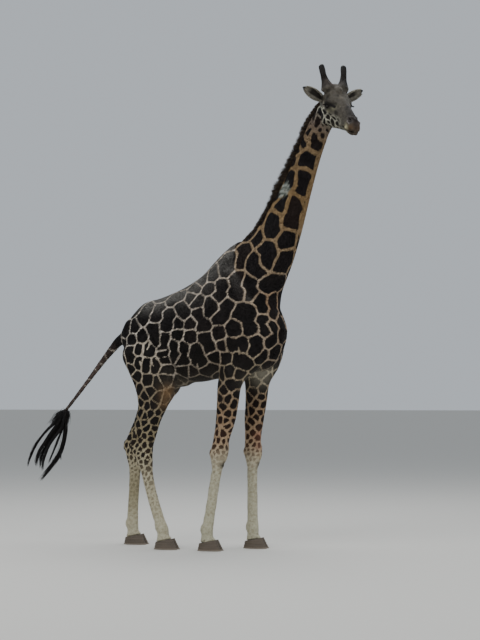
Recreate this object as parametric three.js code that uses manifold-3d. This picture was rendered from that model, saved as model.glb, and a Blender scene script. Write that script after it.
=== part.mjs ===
// An adult bull giraffe, standing, in its life size. Millimetres, +Z up, +X ahead, +Y to the animal's left.
// Each length of the body is a loft: oval rings drawn between a back (or top) line and a front (or under)
// line that are given in side view. The lofts are joined into one body, which thin cuts part into its limbs.
import * as THREE from 'three';
import { mergeVertices } from 'three/addons/utils/BufferGeometryUtils.js';
import Module from 'manifold-3d';

const wasm = await Module();
wasm.setup();

// ---- driving sizes ----
const ORIGIN = new THREE.Vector3(-150, -64, 0);     // middle of the animal's outline, on the floor
const CUT = 0.4;                    // width of the thin cuts between the limbs
const HOOF_LENGTH = 275;            // one claw, heel to toe, on the floor
const CLAW_WIDTH = 96;              // one claw, side to side, on the floor
const CLAW_RISE = 150;              // height to which a claw is drawn before its top edge is cut
const CLEFT = 6;                    // gap between the two claws of a foot
const CORONET = 98;                 // height of the hoof's top edge at its middle
const CORONET_SLOPE = 0.2;          // how much higher that edge is towards the toe
const EYE_RADIUS = 29;
const EYE_ASIDE = 120;              // middle of the eyeball from the head's mid plane
const MANE_HEIGHTS = [18, 40, 56, 92, 72, 62, 32, 8];      // from the withers up to the poll
const MANE_ROOT = 45;               // how deep the mane's fin is set in the neck
const MANE_HALF = 20;               // half the fin's width
const MANE_FULL = 0.35;             // how much thinner the fin is at its crest than at its root

// the head's own frame: middle between the eyes, +X along the face
const HEAD_AT = [1600, -203, 4786];
const HEAD_YAW = THREE.MathUtils.degToRad(-47.8);
const HEAD_NOD = THREE.MathUtils.degToRad(22.5);
const HEAD_TILT = THREE.MathUtils.degToRad(2);
const HEAD = new THREE.Matrix4()
  .makeTranslation(...HEAD_AT)
  .multiply(new THREE.Matrix4().makeRotationZ(HEAD_YAW))
  .multiply(new THREE.Matrix4().makeRotationY(HEAD_NOD))
  .multiply(new THREE.Matrix4().makeRotationX(HEAD_TILT));

// swellings: half sizes, place (y on the left side), and pitch about Y; the first three in the head's frame
const MUSCLES = {
  lump: [[66, 52, 56], [-48, 0, 140], 0.5],               // on a bull's forehead
  brow: [[52, 30, 19], [-4, 120, 37], 0.15],
  cheek: [[92, 34, 74], [-92, 94, -150], -0.5],
  sheath: [[150, 70, 62], [-330, 0, 1868], -0.1],
  scrotum: [[60, 64, 112], [-590, 0, 1862], 0],
  blade: [[170, 75, 330], [520, 262, 2430], 0.25],
  shoulder: [[135, 70, 175], [770, 175, 2330], 0.1],
};

// where the thin cuts lie: x, z and the outward direction's angle above +X
const DOWN = -Math.PI / 2;
const NECK_CUT = [430, 3400, 0.62];
const HEAD_CUT = [1240, 4770, 0.785];
const ELBOW_CUT = [0, 1875, DOWN];
const STIFLE_CUT = [-150, 1735, DOWN - 0.36];
const DOCK_CUT = [-1045, 2290, Math.PI * 1.22];
const TAIL_CUT = [-1720, 1515, Math.PI * 1.26];

// rings and sides of each loft
const TRUNK_MESH = [18, 20];
const NECK_MESH = [16, 16];
const SKULL_MESH = [19, 18];
const EAR_MESH = [10, 10];
const HORN_MESH = [9, 10];
const MANE_MESH = [15, 6];
const LEG_MESH = [23, 12];
const CLAW_MESH = [4, 12];
const TAIL_MESH = [12, 10];
const LOCK_MESH = [7, 6];

// ---- shapes in side view ----
// each row: top x, top z, underside x, underside z, middle y, half width, how much fuller it is low down
const TRUNK = [
  [-990, 2425, -985, 2270, 0, 45, 0],
  [-940, 2500, -915, 2150, 0, 145, 0.05],
  [-850, 2594, -800, 2040, 0, 228, 0.1],
  [-713, 2728, -640, 1950, 0, 290, 0.15],
  [-552, 2770, -480, 1890, 0, 320, 0.18],
  [-380, 2828, -320, 1868, 0, 340, 0.18],
  [-202, 2905, -150, 1828, 0, 357, 0.18],
  [0, 3030, 0, 1832, 0, 370, 0.2],
  [150, 3190, 160, 1862, 0, 370, 0.28],
  [300, 3325, 330, 1885, 0, 357, 0.4],
  [430, 3392, 500, 1910, 0, 332, 0.5],
  [560, 3330, 650, 1938, 0, 300, 0.45],
  [690, 3080, 785, 1988, 0, 252, 0.3],
  [795, 2810, 872, 2110, 0, 188, 0.15],
  [880, 2610, 932, 2235, 0, 118, 0],
  [942, 2470, 956, 2345, 0, 50, 0],
];
const NECK = [
  [60, 2950, 700, 2250, 0, 265, 0.2],
  [260, 3195, 850, 2580, 0, 255, 0.3],
  [450, 3372, 893, 2810, 0, 228, 0.3],
  [620, 3530, 1020, 3130, 0, 190, 0.25],
  [772, 3762, 1130, 3480, 0, 158, 0.15],
  [935, 4052, 1232, 3880, 0, 133, 0.1],
  [1078, 4355, 1330, 4230, 0, 117, 0.05],
  [1200, 4635, 1420, 4480, 0, 108, 0],
  [1295, 4790, 1475, 4585, -12, 102, 0],
  [1380, 4890, 1530, 4650, -50, 90, 0],
];
const SKULL = [
  [-300, 10, -280, -100, 0, 42, 0],
  [-268, 95, -235, -182, 0, 94, 0],
  [-215, 172, -175, -236, 0, 123, 0],
  [-150, 210, -105, -256, 0, 135, -0.05],
  [-85, 196, -45, -256, 0, 139, -0.15],
  [-15, 150, 0, -249, 0, 140, -0.28],
  [50, 112, 55, -241, 0, 127, -0.3],
  [115, 84, 115, -234, 0, 104, -0.2],
  [190, 52, 185, -228, 0, 85, -0.05],
  [265, 22, 262, -221, 0, 75, 0],
  [335, -8, 332, -215, 0, 74, 0.1],
  [398, -38, 398, -219, 0, 78, 0.1],
  [446, -75, 446, -224, 0, 64, 0],
  [480, -120, 476, -204, 0, 32, 0],
];
// each row: height, half depth fore and aft, middle y, half width, how much fuller the front is
const FORELEG = [
  [2560, 235, 200, 85, 0],
  [2240, 250, 215, 130, 0],
  [2000, 225, 198, 142, 0],
  [1820, 148, 203, 110, 0.05],
  [1620, 130, 206, 90, 0.05],
  [1410, 116, 206, 80, 0.1],
  [1200, 98, 206, 68, 0.05],
  [1050, 102, 206, 74, 0.1],
  [955, 84, 206, 64, 0.1],
  [865, 64, 206, 51, 0],
  [700, 63, 206, 46, -0.1],
  [510, 64, 206, 46, -0.1],
  [330, 66, 206, 50, -0.1],
  [225, 78, 206, 62, -0.1],
  [160, 72, 206, 58, 0],
  [100, 88, 206, 72, 0],
  [45, 90, 206, 74, 0],
];
const HINDLEG = [
  [2450, 190, 120, 110, 0],
  [2150, 322, 160, 175, 0.1],
  [1950, 292, 175, 160, 0.15],
  [1780, 246, 192, 126, 0.15],
  [1600, 190, 206, 96, 0.1],
  [1410, 155, 214, 76, 0.25],
  [1270, 150, 216, 64, 0.35],
  [1140, 138, 216, 66, 0.35],
  [1040, 122, 216, 66, 0.3],
  [950, 102, 216, 58, 0.15],
  [840, 75, 216, 50, 0],
  [700, 68, 216, 46, -0.05],
  [530, 68, 216, 46, -0.1],
  [340, 70, 216, 50, -0.1],
  [225, 80, 216, 62, -0.1],
  [160, 74, 216, 58, 0],
  [100, 90, 216, 72, 0],
  [45, 92, 216, 74, 0],
];
// where the middle of each leg stands, fore and aft, at the heights of the rows above
const STANCE = {
  foreleg_right: [570, 548, 488, 374, 346, 320, 271, 241, 232, 221, 193, 163, 131, 107, 112, 120, 122],
  foreleg_left: [615, 618, 583, 550, 536, 512, 499, 497, 495, 493, 495, 496, 497, 494, 500, 508, 510],
  hindleg_right: [-620, -600, -550, -514, -524, -582, -622, -652, -646, -624, -594, -562, -514, -452, -412,
    -398, -384, -380],
  hindleg_left: [-630, -615, -592, -614, -680, -780, -850, -912, -922, -920, -918, -922, -932, -942, -950,
    -938, -926, -922],
};
// each row: x, z, y of the tail's middle and its radius
const TAIL = [
  [-900, 2365, 0, 60],
  [-1005, 2320, 0, 60],
  [-1100, 2228, 4, 48],
  [-1240, 2070, 10, 36],
  [-1400, 1878, 20, 29],
  [-1560, 1690, 34, 25],
  [-1700, 1530, 45, 23],
  [-1760, 1460, 50, 23],
];
// where the tassel's main locks start (x, z, y), and their radii at each quarter of their length, as shares
const LOCK_START = [-1712, 1528, 46];
const LOCK_SHARES = [1.3, 1.5, 1.1, 0.8, 0.2];
// tips of those locks (x, z, y), how far each sags below a straight line, and its radius
const TASSEL_LOCKS = [
  [-2190, 832, 60, -90, 15],
  [-2125, 812, -10, -75, 20],
  [-2075, 775, 110, -45, 20],
  [-2030, 690, 30, 95, 23],
  [-1945, 850, 75, 60, 14],
];

// ---- building tools ----
const MATERIALS = {
  coat: new THREE.MeshStandardMaterial({ color: 0x2b211c, roughness: 0.85, metalness: 0 }),
  face: new THREE.MeshStandardMaterial({ color: 0x6a6052, roughness: 0.85, metalness: 0 }),
  leg: new THREE.MeshStandardMaterial({ color: 0xb9ab97, roughness: 0.85, metalness: 0 }),
  hair: new THREE.MeshStandardMaterial({ color: 0x17120f, roughness: 0.6, metalness: 0 }),
  horn: new THREE.MeshStandardMaterial({ color: 0x1d1815, roughness: 0.7, metalness: 0 }),
  hoof: new THREE.MeshStandardMaterial({ color: 0x4a4036, roughness: 0.5, metalness: 0 }),
  eye: new THREE.MeshStandardMaterial({ color: 0x120c08, roughness: 0.08, metalness: 0 }),
};

// The row at t (0 to 1) on a Catmull-Rom curve through rows of numbers.
function smoothRow(rows, t) {
  const place = t * (rows.length - 1);
  const at = Math.min(Math.floor(place), rows.length - 2);
  const f = place - at;
  const before = rows[Math.max(at - 1, 0)];
  const after = rows[Math.min(at + 2, rows.length - 1)];
  return rows[at].map((b, k) => {
    const [a, c, d] = [before[k], rows[at + 1][k], after[k]];
    return 0.5 * (2 * b + (c - a) * f + (2 * a - 5 * b + 4 * c - d) * f * f
      + (3 * b - a - 3 * c + d) * f ** 3);
  });
}

// A closed body from a grid of points, pointAt(t, angle): a tube whose two ends are closed by fans.
function tube(pointAt, rings, sides) {
  const points = [];
  const faces = [];
  for (let i = 0; i < rings; i++) {
    for (let j = 0; j < sides; j++) {
      points.push(pointAt(i / (rings - 1), (j / sides) * 2 * Math.PI));
    }
  }
  for (let i = 0; i < rings - 1; i++) {
    for (let j = 0; j < sides; j++) {
      const [a, b] = [i * sides + j, i * sides + ((j + 1) % sides)];
      faces.push([a, b, b + sides], [a, b + sides, a + sides]);
    }
  }
  for (const first of [0, (rings - 1) * sides]) {
    const middle = new THREE.Vector3();
    for (let j = 0; j < sides; j++) middle.addScaledVector(points[first + j], 1 / sides);
    points.push(middle);
    for (let j = 0; j < sides; j++) {
      const [a, b] = [first + j, first + ((j + 1) % sides)];
      faces.push(first ? [a, b, points.length - 1] : [b, a, points.length - 1]);
    }
  }
  return facedOut(points, faces);
}

// The geometry of points and faces, with every face turned outward.
function facedOut(points, faces) {
  let volume = 0;
  for (const [a, b, c] of faces) {
    volume += points[a].dot(new THREE.Vector3().crossVectors(points[b], points[c]));
  }
  const index = faces.flatMap(([a, b, c]) => (volume > 0 ? [a, b, c] : [a, c, b]));
  const geometry = new THREE.BufferGeometry().setFromPoints(points);
  geometry.setIndex(index);
  return geometry;
}

function solid(geometry) {
  const bare = geometry.clone();
  bare.deleteAttribute('normal');
  bare.deleteAttribute('uv');
  const merged = mergeVertices(bare, 1e-4);
  return new wasm.Manifold(new wasm.Mesh({
    numProp: 3,
    vertProperties: new Float32Array(merged.attributes.position.array),
    triVerts: new Uint32Array(merged.index.array),
  }));
}

// An oval loft through rows of [top x, top z, underside x, underside z, y, half width, fullness],
// made larger all round by grow.
function loft(rows, rings, sides, grow = 0, frame = null) {
  const pointAt = (t, angle) => {
    const [xa, za, xb, zb, y, wide, full] = smoothRow(rows, t);
    const top = new THREE.Vector3(xa, 0, za);
    const under = new THREE.Vector3(xb, 0, zb);
    const reach = 1 + (2 * grow) / top.distanceTo(under);
    const along = (reach * Math.cos(angle) + 1) / 2;
    const point = under.lerp(top, along);
    point.y = y + (wide + grow) * Math.sin(angle) * (1 - full * Math.cos(angle));
    return frame ? point.applyMatrix4(frame) : point;
  };
  return solid(tube(pointAt, rings, sides));
}

// The loft rows of one leg: rings that lie level, from its table of sizes and its stance.
function legRows(sizes, stance, side) {
  return sizes.map(([z, deep, y, wide, full], i) => [
    stance[i] - deep, z, stance[i] + deep, z, side * y, wide, full,
  ]);
}

// A round tube along rows of [x, z, y, radius], its rings square to the path in side view.
function hose(rows, rings, sides, grow = 0) {
  const pointAt = (t, angle) => {
    const [x, z, y, radius] = smoothRow(rows, t);
    const [x0, z0] = smoothRow(rows, Math.max(t - 0.01, 0));
    const [x1, z1] = smoothRow(rows, Math.min(t + 0.01, 1));
    const across = new THREE.Vector3(z0 - z1, 0, x1 - x0).normalize();
    const point = new THREE.Vector3(x, y, z).addScaledVector(across, (radius + grow) * Math.cos(angle));
    point.y += (radius + grow) * Math.sin(angle);
    return point;
  };
  return solid(tube(pointAt, rings, sides));
}

// A ball at a place, squeezed to the given half sizes and turned by pitch about Y.
function ellipsoid(halves, at, pitch = 0, frame = null) {
  const geometry = new THREE.SphereGeometry(1, 10, 6);
  geometry.scale(...halves);
  geometry.rotateY(pitch);
  geometry.translate(...at);
  if (frame) geometry.applyMatrix4(frame);
  return solid(geometry);
}

// One of the swellings, on one side, made larger all round by grow.
function muscle(name, side = 1, grow = 0, frame = null) {
  const [halves, [x, y, z], pitch] = MUSCLES[name];
  return ellipsoid(halves.map((half) => half + grow), [x, side * y, z], pitch, frame);
}

// All space beyond an upright-edged plane through x, z, whose outward direction is angle above +X.
function beyond(x, z, angle) {
  const size = 9000;
  const geometry = new THREE.BoxGeometry(size, size, size);
  geometry.translate(size / 2, 0, 0);
  geometry.rotateY(-angle);
  geometry.translate(x, 0, z);
  return solid(geometry);
}

// Parts a body by a thin cut in that plane: what lies before it, and what lies beyond.
function part(body, x, z, angle) {
  const [stepX, stepZ] = [Math.cos(angle) * CUT / 2, Math.sin(angle) * CUT / 2];
  return [
    body.subtract(beyond(x - stepX, z - stepZ, angle)),
    body.intersect(beyond(x + stepX, z + stepZ, angle)),
  ];
}

// A bend that is 0 at both ends (t = 0 and 1) and 1 in the middle.
const bow = (t) => 4 * t * (1 - t);

const join = (first, ...others) => others.reduce((sum, other) => sum.add(other), first);
const group = new THREE.Group();

function show(name, body, material) {
  const { vertProperties, triVerts } = body.getMesh();
  const geometry = new THREE.BufferGeometry();
  geometry.setAttribute('position', new THREE.BufferAttribute(vertProperties, 3));
  geometry.setIndex(new THREE.BufferAttribute(triVerts, 1));
  const mesh = new THREE.Mesh(geometry, MATERIALS[material]);
  mesh.name = name;
  group.add(mesh);
}

const SIDES = { right: -1, left: 1 };
const eachSide = (make) => Object.entries(SIDES).map(([name, side]) => make(name, side));

// ---- trunk, neck and head: one body, parted at the foot of the neck and behind the jaw ----
// In the head's frame: the brow over each eye, the cheek muscle, and a bull's lump on the forehead.
function skull(grow = 0) {
  return join(
    loft(SKULL, ...SKULL_MESH, grow, HEAD),
    muscle('lump', 1, grow, HEAD),
    ...eachSide((name, side) => join(muscle('brow', side, grow, HEAD), muscle('cheek', side, grow, HEAD))),
  );
}

const groin = (grow = 0) => join(muscle('sheath', 1, grow), muscle('scrotum', 1, grow));
const shoulders = eachSide((name, side) => join(muscle('blade', side), muscle('shoulder', side)));
const spine = join(loft(TRUNK, ...TRUNK_MESH), loft(NECK, ...NECK_MESH), skull(), groin(), ...shoulders);
const [trunkPart, neckAndHead] = part(spine, ...NECK_CUT);
const [neck, headPart] = part(neckAndHead, ...HEAD_CUT);

// ---- eyes, in sockets cut from the head ----
const ball = (side, radius) => ellipsoid([radius, radius, radius], [0, side * EYE_ASIDE, 0], 0, HEAD);
const sockets = eachSide((name, side) => ball(side, EYE_RADIUS + CUT));
show('head', headPart.subtract(join(...sockets)), 'face');
eachSide((name, side) => show(`eye_${name}`, ball(side, EYE_RADIUS), 'eye'));
show('neck', neck, 'coat');

// ---- ears: cupped leaves that stand out from the head, hollow side forward ----
const headCut = skull(CUT);
const EAR_ROOT = new THREE.Vector3(-172, 112, 24);
const EAR_TIP = new THREE.Vector3(-182, 362, 147);
const EAR_OUTLINE = [[40], [50], [56], [58], [55], [48], [38], [24], [6]];     // half widths along the ear
const EAR_FULL = 50;                // the half width at which its hollow and its thickness are measured
const EAR_CUP = 34;                 // how deep its hollow is at the root
const EAR_TIP_CUP = 0.5;            // share of that depth at the tip
const EAR_RIM = 0.6;                // share of that depth by which the rims stand before the ear's line
const EAR_THICK = 8;                // half the thickness of the leaf in its middle
const EAR_TAPER = 0.4;              // power by which the thickness follows the width
const EAR_OPENING = new THREE.Vector3(1, 0.3, 0.1);
function ear(side) {
  const flip = new THREE.Vector3(1, side, 1);
  const along = EAR_TIP.clone().sub(EAR_ROOT);
  const opening = EAR_OPENING.clone().projectOnPlane(along.clone().normalize()).normalize();
  const across = new THREE.Vector3().crossVectors(along, opening).normalize();
  const pointAt = (t, angle) => {
    const [half] = smoothRow(EAR_OUTLINE, t);
    const share = half / EAR_FULL;
    const cup = EAR_CUP * share * (1 - (1 - EAR_TIP_CUP) * t);
    const depth = EAR_THICK * share ** EAR_TAPER * Math.sin(angle) - cup * Math.sin(angle) ** 2;
    return EAR_ROOT.clone()
      .addScaledVector(along, t)
      .addScaledVector(across, half * Math.cos(angle))
      .addScaledVector(opening, depth + cup * EAR_RIM)
      .multiply(flip)
      .applyMatrix4(HEAD);
  };
  return solid(tube(pointAt, ...EAR_MESH));
}
eachSide((name, side) => show(`ear_${name}`, ear(side).subtract(headCut), 'face'));

// ---- horns: skin-covered cones that lean back and apart, with a worn round tip ----
const HORN_ROOT = new THREE.Vector3(-120, 66, 120);
const HORN_TIP = new THREE.Vector3(-286, 135, 386);
const HORN_RADII = [[78], [66], [56], [47], [39], [34], [33], [33], [29], [12]];
const HORN_BOW = 14;                // how far a horn's middle bows outward from a straight line
function horn(side) {
  const flip = new THREE.Vector3(1, side, 1);
  const along = HORN_TIP.clone().sub(HORN_ROOT);
  const deep = new THREE.Vector3(1, 0, 0).projectOnPlane(along.clone().normalize()).normalize();
  const wide = new THREE.Vector3().crossVectors(along, deep).normalize();
  const pointAt = (t, angle) => {
    const [radius] = smoothRow(HORN_RADII, t);
    const point = HORN_ROOT.clone().addScaledVector(along, t);
    point.addScaledVector(deep, radius * Math.cos(angle)).addScaledVector(wide, radius * Math.sin(angle));
    point.y += HORN_BOW * bow(t);
    return point.multiply(flip).applyMatrix4(HEAD);
  };
  return solid(tube(pointAt, ...HORN_MESH));
}
eachSide((name, side) => show(`horn_${name}`, horn(side).subtract(headCut), 'horn'));

// ---- mane: a stiff fin along the back of the neck, from the poll to the withers ----
const maneRows = NECK.slice(2).map(([backX, backZ, frontX, frontZ, y], i) => {
  const out = new THREE.Vector2(backX - frontX, backZ - frontZ).normalize();
  const rise = MANE_HEIGHTS[i];
  const crest = [backX + out.x * rise, backZ + out.y * rise];
  const root = [backX - out.x * MANE_ROOT, backZ - out.y * MANE_ROOT];
  return [...crest, ...root, y, MANE_HALF, MANE_FULL];
});
const bodyCut = join(loft(TRUNK, ...TRUNK_MESH, CUT), loft(NECK, ...NECK_MESH, CUT), headCut);
show('mane', loft(maneRows, ...MANE_MESH).subtract(bodyCut), 'hair');

// ---- legs and hooves ----
const CORONET_ANGLE = DOWN + Math.atan(CORONET_SLOPE);
const TOE_LEAN = 52;                // how much shorter a claw's half is at CLAW_RISE than on the floor
const TOE_CURVE = 0.8;              // power of the toe's slope
const WALL_LEAN = 24;               // how much narrower a claw is at CLAW_RISE
const SOLE_AHEAD = 28;              // how far the sole's middle lies ahead of the leg's
const SOLE_DRIFT = 24;              // how far a claw's middle moves back by CLAW_RISE
const CLEFT_SHARE = 0.42;           // share of a claw's width on the cleft's side of its middle
const CLEFT_BEND = 0.55;            // power that flattens the wall on that side
const trunkCut = join(loft(TRUNK, ...TRUNK_MESH, CUT), groin(CUT));
const thighs = [];

// One claw of a hoof: a wall that leans in from a flat sole, nearly straight on the side of the cleft.
function claw(footX, footY, half) {
  const pointAt = (t, angle) => {
    const [reach, wide] = [HOOF_LENGTH / 2 - TOE_LEAN * t ** TOE_CURVE, CLAW_WIDTH - WALL_LEAN * t];
    const sine = Math.sin(angle);
    const aside = sine > 0 ? (1 - CLEFT_SHARE) * sine : -CLEFT_SHARE * Math.abs(sine) ** CLEFT_BEND;
    return new THREE.Vector3(
      footX + SOLE_AHEAD - SOLE_DRIFT * t + reach * Math.cos(angle),
      footY + half * (CLEFT / 2 + wide * (CLEFT_SHARE + aside)),
      CLAW_RISE * t,
    );
  };
  return solid(tube(pointAt, ...CLAW_MESH));
}

function leg(name, sizes, side, cut) {
  const stance = STANCE[name];
  const footX = stance[stance.length - 2];
  const footY = side * sizes[sizes.length - 2][2];
  const limb = loft(legRows(sizes, stance, side), ...LEG_MESH);
  const [thigh, shank] = part(limb, ...cut);
  const coronet = [footX, CORONET, CORONET_ANGLE];
  thighs.push(thigh);
  show(name, part(shank, ...coronet)[0].subtract(trunkCut), 'leg');
  for (const [clawName, half] of [['inner', -side], ['outer', side]]) {
    show(`hoof_${name.replace('leg', '')}_${clawName}`, part(claw(footX, footY, half), ...coronet)[1], 'hoof');
  }
}
eachSide((name, side) => leg(`foreleg_${name}`, FORELEG, side, ELBOW_CUT));
eachSide((name, side) => leg(`hindleg_${name}`, HINDLEG, side, STIFLE_CUT));

// ---- tail and tassel ----
const [dock, tail] = part(hose(TAIL, ...TAIL_MESH), ...DOCK_CUT);
function lock([tipX, tipZ, tipY, sag, radius]) {
  const [startX, startZ, startY] = LOCK_START;
  const run = new THREE.Vector2(tipX - startX, tipZ - startZ);
  const aside = new THREE.Vector2(-run.y, run.x).normalize();
  const rows = LOCK_SHARES.map((share, i) => {
    const t = i / (LOCK_SHARES.length - 1);
    return [
      startX + run.x * t + aside.x * sag * bow(t),
      startZ + run.y * t + aside.y * sag * bow(t),
      startY + (tipY - startY) * Math.sin(t * Math.PI / 2),
      radius * share,
    ];
  });
  return hose(rows, ...LOCK_MESH);
}
show('tail', tail.subtract(beyond(...TAIL_CUT)), 'coat');
const hair = join(...TASSEL_LOCKS.map(lock));
show('tail_tassel', hair.subtract(hose(TAIL, ...TAIL_MESH, CUT)), 'hair');
show('trunk', join(trunkPart, ...thighs, dock), 'coat');

group.position.copy(ORIGIN).negate();
export default group;
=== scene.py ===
import math

import bpy
import numpy as np
from mathutils import Matrix, Vector


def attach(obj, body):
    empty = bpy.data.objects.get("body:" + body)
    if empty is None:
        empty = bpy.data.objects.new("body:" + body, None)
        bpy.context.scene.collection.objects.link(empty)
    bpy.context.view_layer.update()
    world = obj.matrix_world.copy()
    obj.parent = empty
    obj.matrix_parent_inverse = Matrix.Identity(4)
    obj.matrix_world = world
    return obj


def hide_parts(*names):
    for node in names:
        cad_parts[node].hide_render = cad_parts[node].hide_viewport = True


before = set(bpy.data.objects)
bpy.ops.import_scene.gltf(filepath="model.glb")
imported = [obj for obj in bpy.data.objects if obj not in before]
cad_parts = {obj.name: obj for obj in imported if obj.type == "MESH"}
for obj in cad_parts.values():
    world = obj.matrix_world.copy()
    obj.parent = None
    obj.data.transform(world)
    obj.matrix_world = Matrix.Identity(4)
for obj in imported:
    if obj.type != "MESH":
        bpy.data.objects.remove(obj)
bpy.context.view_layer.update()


# ---- the view ----
# The camera stands 16 m off the animal's right side, a little ahead of square, at the eye height of a
# standing person. It looks up a little, and its axis passes to the right of the forefeet.
BODY_PLACE = np.array([0.150, 0.064, 0.0])     # where the body's origin, under the withers, lies in the row
VIEW_TURN = math.radians(20)
VIEW_DISTANCE = 16.0
VIEW_HEIGHT = 1.60
FOCAL_PIXELS = 1440
AXIS_BESIDE, AXIS_ABOVE = 35.5, 83             # how far the camera is swung and tilted, in pixels
VIEW_PAN = math.atan(AXIS_BESIDE / FOCAL_PIXELS)
VIEW_TILT = math.atan(AXIS_ABOVE / FOCAL_PIXELS)
FRAME_SIZE = (480, 640)
SENSOR = 24                                    # millimetres, along the longer side
SIGHT_END = 500                                # metres

ahead = np.array([-math.sin(VIEW_TURN), math.cos(VIEW_TURN), 0])
aside = np.array([math.cos(VIEW_TURN), math.sin(VIEW_TURN), 0])
eye_place = -VIEW_DISTANCE * ahead + [0, 0, VIEW_HEIGHT]
level_sight = ahead * math.cos(VIEW_PAN) + aside * math.sin(VIEW_PAN)
sight = level_sight * math.cos(VIEW_TILT) + np.array([0, 0, math.sin(VIEW_TILT)])
sight_right = aside * math.cos(VIEW_PAN) - ahead * math.sin(VIEW_PAN)
sight_up = np.cross(sight_right, sight)


def in_view(points):
    """Pixel places of points in the body's frame: each point's offset from the axis over its depth, times the
    focal length."""
    rays = points - eye_place
    depth = rays @ sight
    return np.stack([FRAME_SIZE[0] / 2 + FOCAL_PIXELS * (rays @ sight_right) / depth,
                     FRAME_SIZE[1] / 2 - FOCAL_PIXELS * (rays @ sight_up) / depth], axis=1)


camera = bpy.data.objects.new("camera", bpy.data.cameras.new("camera"))
bpy.context.scene.collection.objects.link(camera)
camera.data.sensor_width = SENSOR
camera.data.lens = SENSOR * FOCAL_PIXELS / FRAME_SIZE[1]
camera.data.clip_end = SIGHT_END
pose = np.eye(4)
pose[:3, :3] = np.stack([sight_right, sight_up, -sight], axis=1)
pose[:3, 3] = eye_place + BODY_PLACE
camera.matrix_world = Matrix(pose.tolist())
bpy.context.scene.camera = camera


# ---- the skin's underlying shape ----
# One hide covers the trunk, neck, head, ears, tail and legs, drawn over muscle and bone. Each part is an oval
# tube along its own axis. Rows give back x, z, then front x, z, then middle y, half width and how much fuller
# the lower side is, in metres in the body's frame (X ahead, Y left, Z up).
COAT_DEPTH = 0.006
TRUNK = [
    [-0.99, 2.425, -0.985, 2.27, 0, 0.045, 0], [-0.94, 2.5, -0.915, 2.15, 0, 0.145, 0.05],
    [-0.85, 2.594, -0.8, 2.04, 0, 0.228, 0.1], [-0.713, 2.728, -0.64, 1.95, 0, 0.29, 0.15],
    [-0.552, 2.77, -0.48, 1.89, 0, 0.32, 0.18], [-0.38, 2.828, -0.32, 1.868, 0, 0.34, 0.18],
    [-0.202, 2.905, -0.15, 1.828, 0, 0.357, 0.18], [0, 3.03, 0, 1.832, 0, 0.37, 0.2],
    [0.15, 3.19, 0.16, 1.862, 0, 0.37, 0.28], [0.3, 3.325, 0.33, 1.885, 0, 0.357, 0.4],
    [0.43, 3.392, 0.5, 1.91, 0, 0.332, 0.5], [0.56, 3.33, 0.65, 1.938, 0, 0.3, 0.45],
    [0.69, 3.08, 0.785, 1.988, 0, 0.252, 0.3], [0.795, 2.81, 0.872, 2.11, 0, 0.188, 0.15],
    [0.88, 2.61, 0.932, 2.235, 0, 0.118, 0], [0.942, 2.47, 0.956, 2.345, 0, 0.05, 0],
]
NECK = [
    [0.06, 2.95, 0.7, 2.25, 0, 0.265, 0.2], [0.26, 3.195, 0.85, 2.58, 0, 0.255, 0.3],
    [0.45, 3.372, 0.893, 2.81, 0, 0.228, 0.3], [0.62, 3.53, 1.02, 3.13, 0, 0.19, 0.25],
    [0.772, 3.762, 1.13, 3.48, 0, 0.158, 0.15], [0.935, 4.052, 1.232, 3.88, 0, 0.133, 0.1],
    [1.078, 4.355, 1.33, 4.23, 0, 0.117, 0.05], [1.2, 4.635, 1.42, 4.48, 0, 0.108, 0],
    [1.295, 4.79, 1.475, 4.585, -0.012, 0.102, 0], [1.38, 4.89, 1.53, 4.65, -0.05, 0.09, 0],
]
SKULL = [      # in the head's frame: X along the face, Y left, Z up, from midway between the eyes
    [-0.3, 0.01, -0.28, -0.1, 0, 0.042, 0], [-0.268, 0.095, -0.235, -0.182, 0, 0.094, 0],
    [-0.215, 0.172, -0.175, -0.236, 0, 0.123, 0], [-0.15, 0.21, -0.105, -0.256, 0, 0.135, -0.05],
    [-0.085, 0.196, -0.045, -0.256, 0, 0.139, -0.15], [-0.015, 0.15, 0, -0.249, 0, 0.14, -0.28],
    [0.05, 0.112, 0.055, -0.241, 0, 0.127, -0.3], [0.115, 0.084, 0.115, -0.234, 0, 0.104, -0.2],
    [0.19, 0.052, 0.185, -0.228, 0, 0.085, -0.05], [0.265, 0.022, 0.262, -0.221, 0, 0.075, 0],
    [0.335, -0.008, 0.332, -0.215, 0, 0.074, 0.1], [0.398, -0.038, 0.398, -0.219, 0, 0.078, 0.1],
    [0.446, -0.075, 0.446, -0.224, 0, 0.064, 0], [0.48, -0.12, 0.476, -0.204, 0, 0.032, 0],
]
# a leg's rows: height, half depth fore and aft, middle y, half width, fullness of the front
FORELEG = [
    [2.56, 0.235, 0.2, 0.085, 0], [2.24, 0.25, 0.215, 0.13, 0], [2, 0.225, 0.198, 0.142, 0],
    [1.82, 0.148, 0.203, 0.11, 0.05], [1.62, 0.13, 0.206, 0.09, 0.05], [1.41, 0.116, 0.206, 0.08, 0.1],
    [1.2, 0.098, 0.206, 0.068, 0.05], [1.05, 0.102, 0.206, 0.074, 0.1],
    [0.955, 0.084, 0.206, 0.064, 0.1], [0.865, 0.064, 0.206, 0.051, 0],
    [0.7, 0.063, 0.206, 0.046, -0.1], [0.51, 0.064, 0.206, 0.046, -0.1],
    [0.33, 0.066, 0.206, 0.05, -0.1], [0.225, 0.078, 0.206, 0.062, -0.1],
    [0.16, 0.072, 0.206, 0.058, 0], [0.1, 0.088, 0.206, 0.072, 0], [0.045, 0.09, 0.206, 0.074, 0],
]
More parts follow.
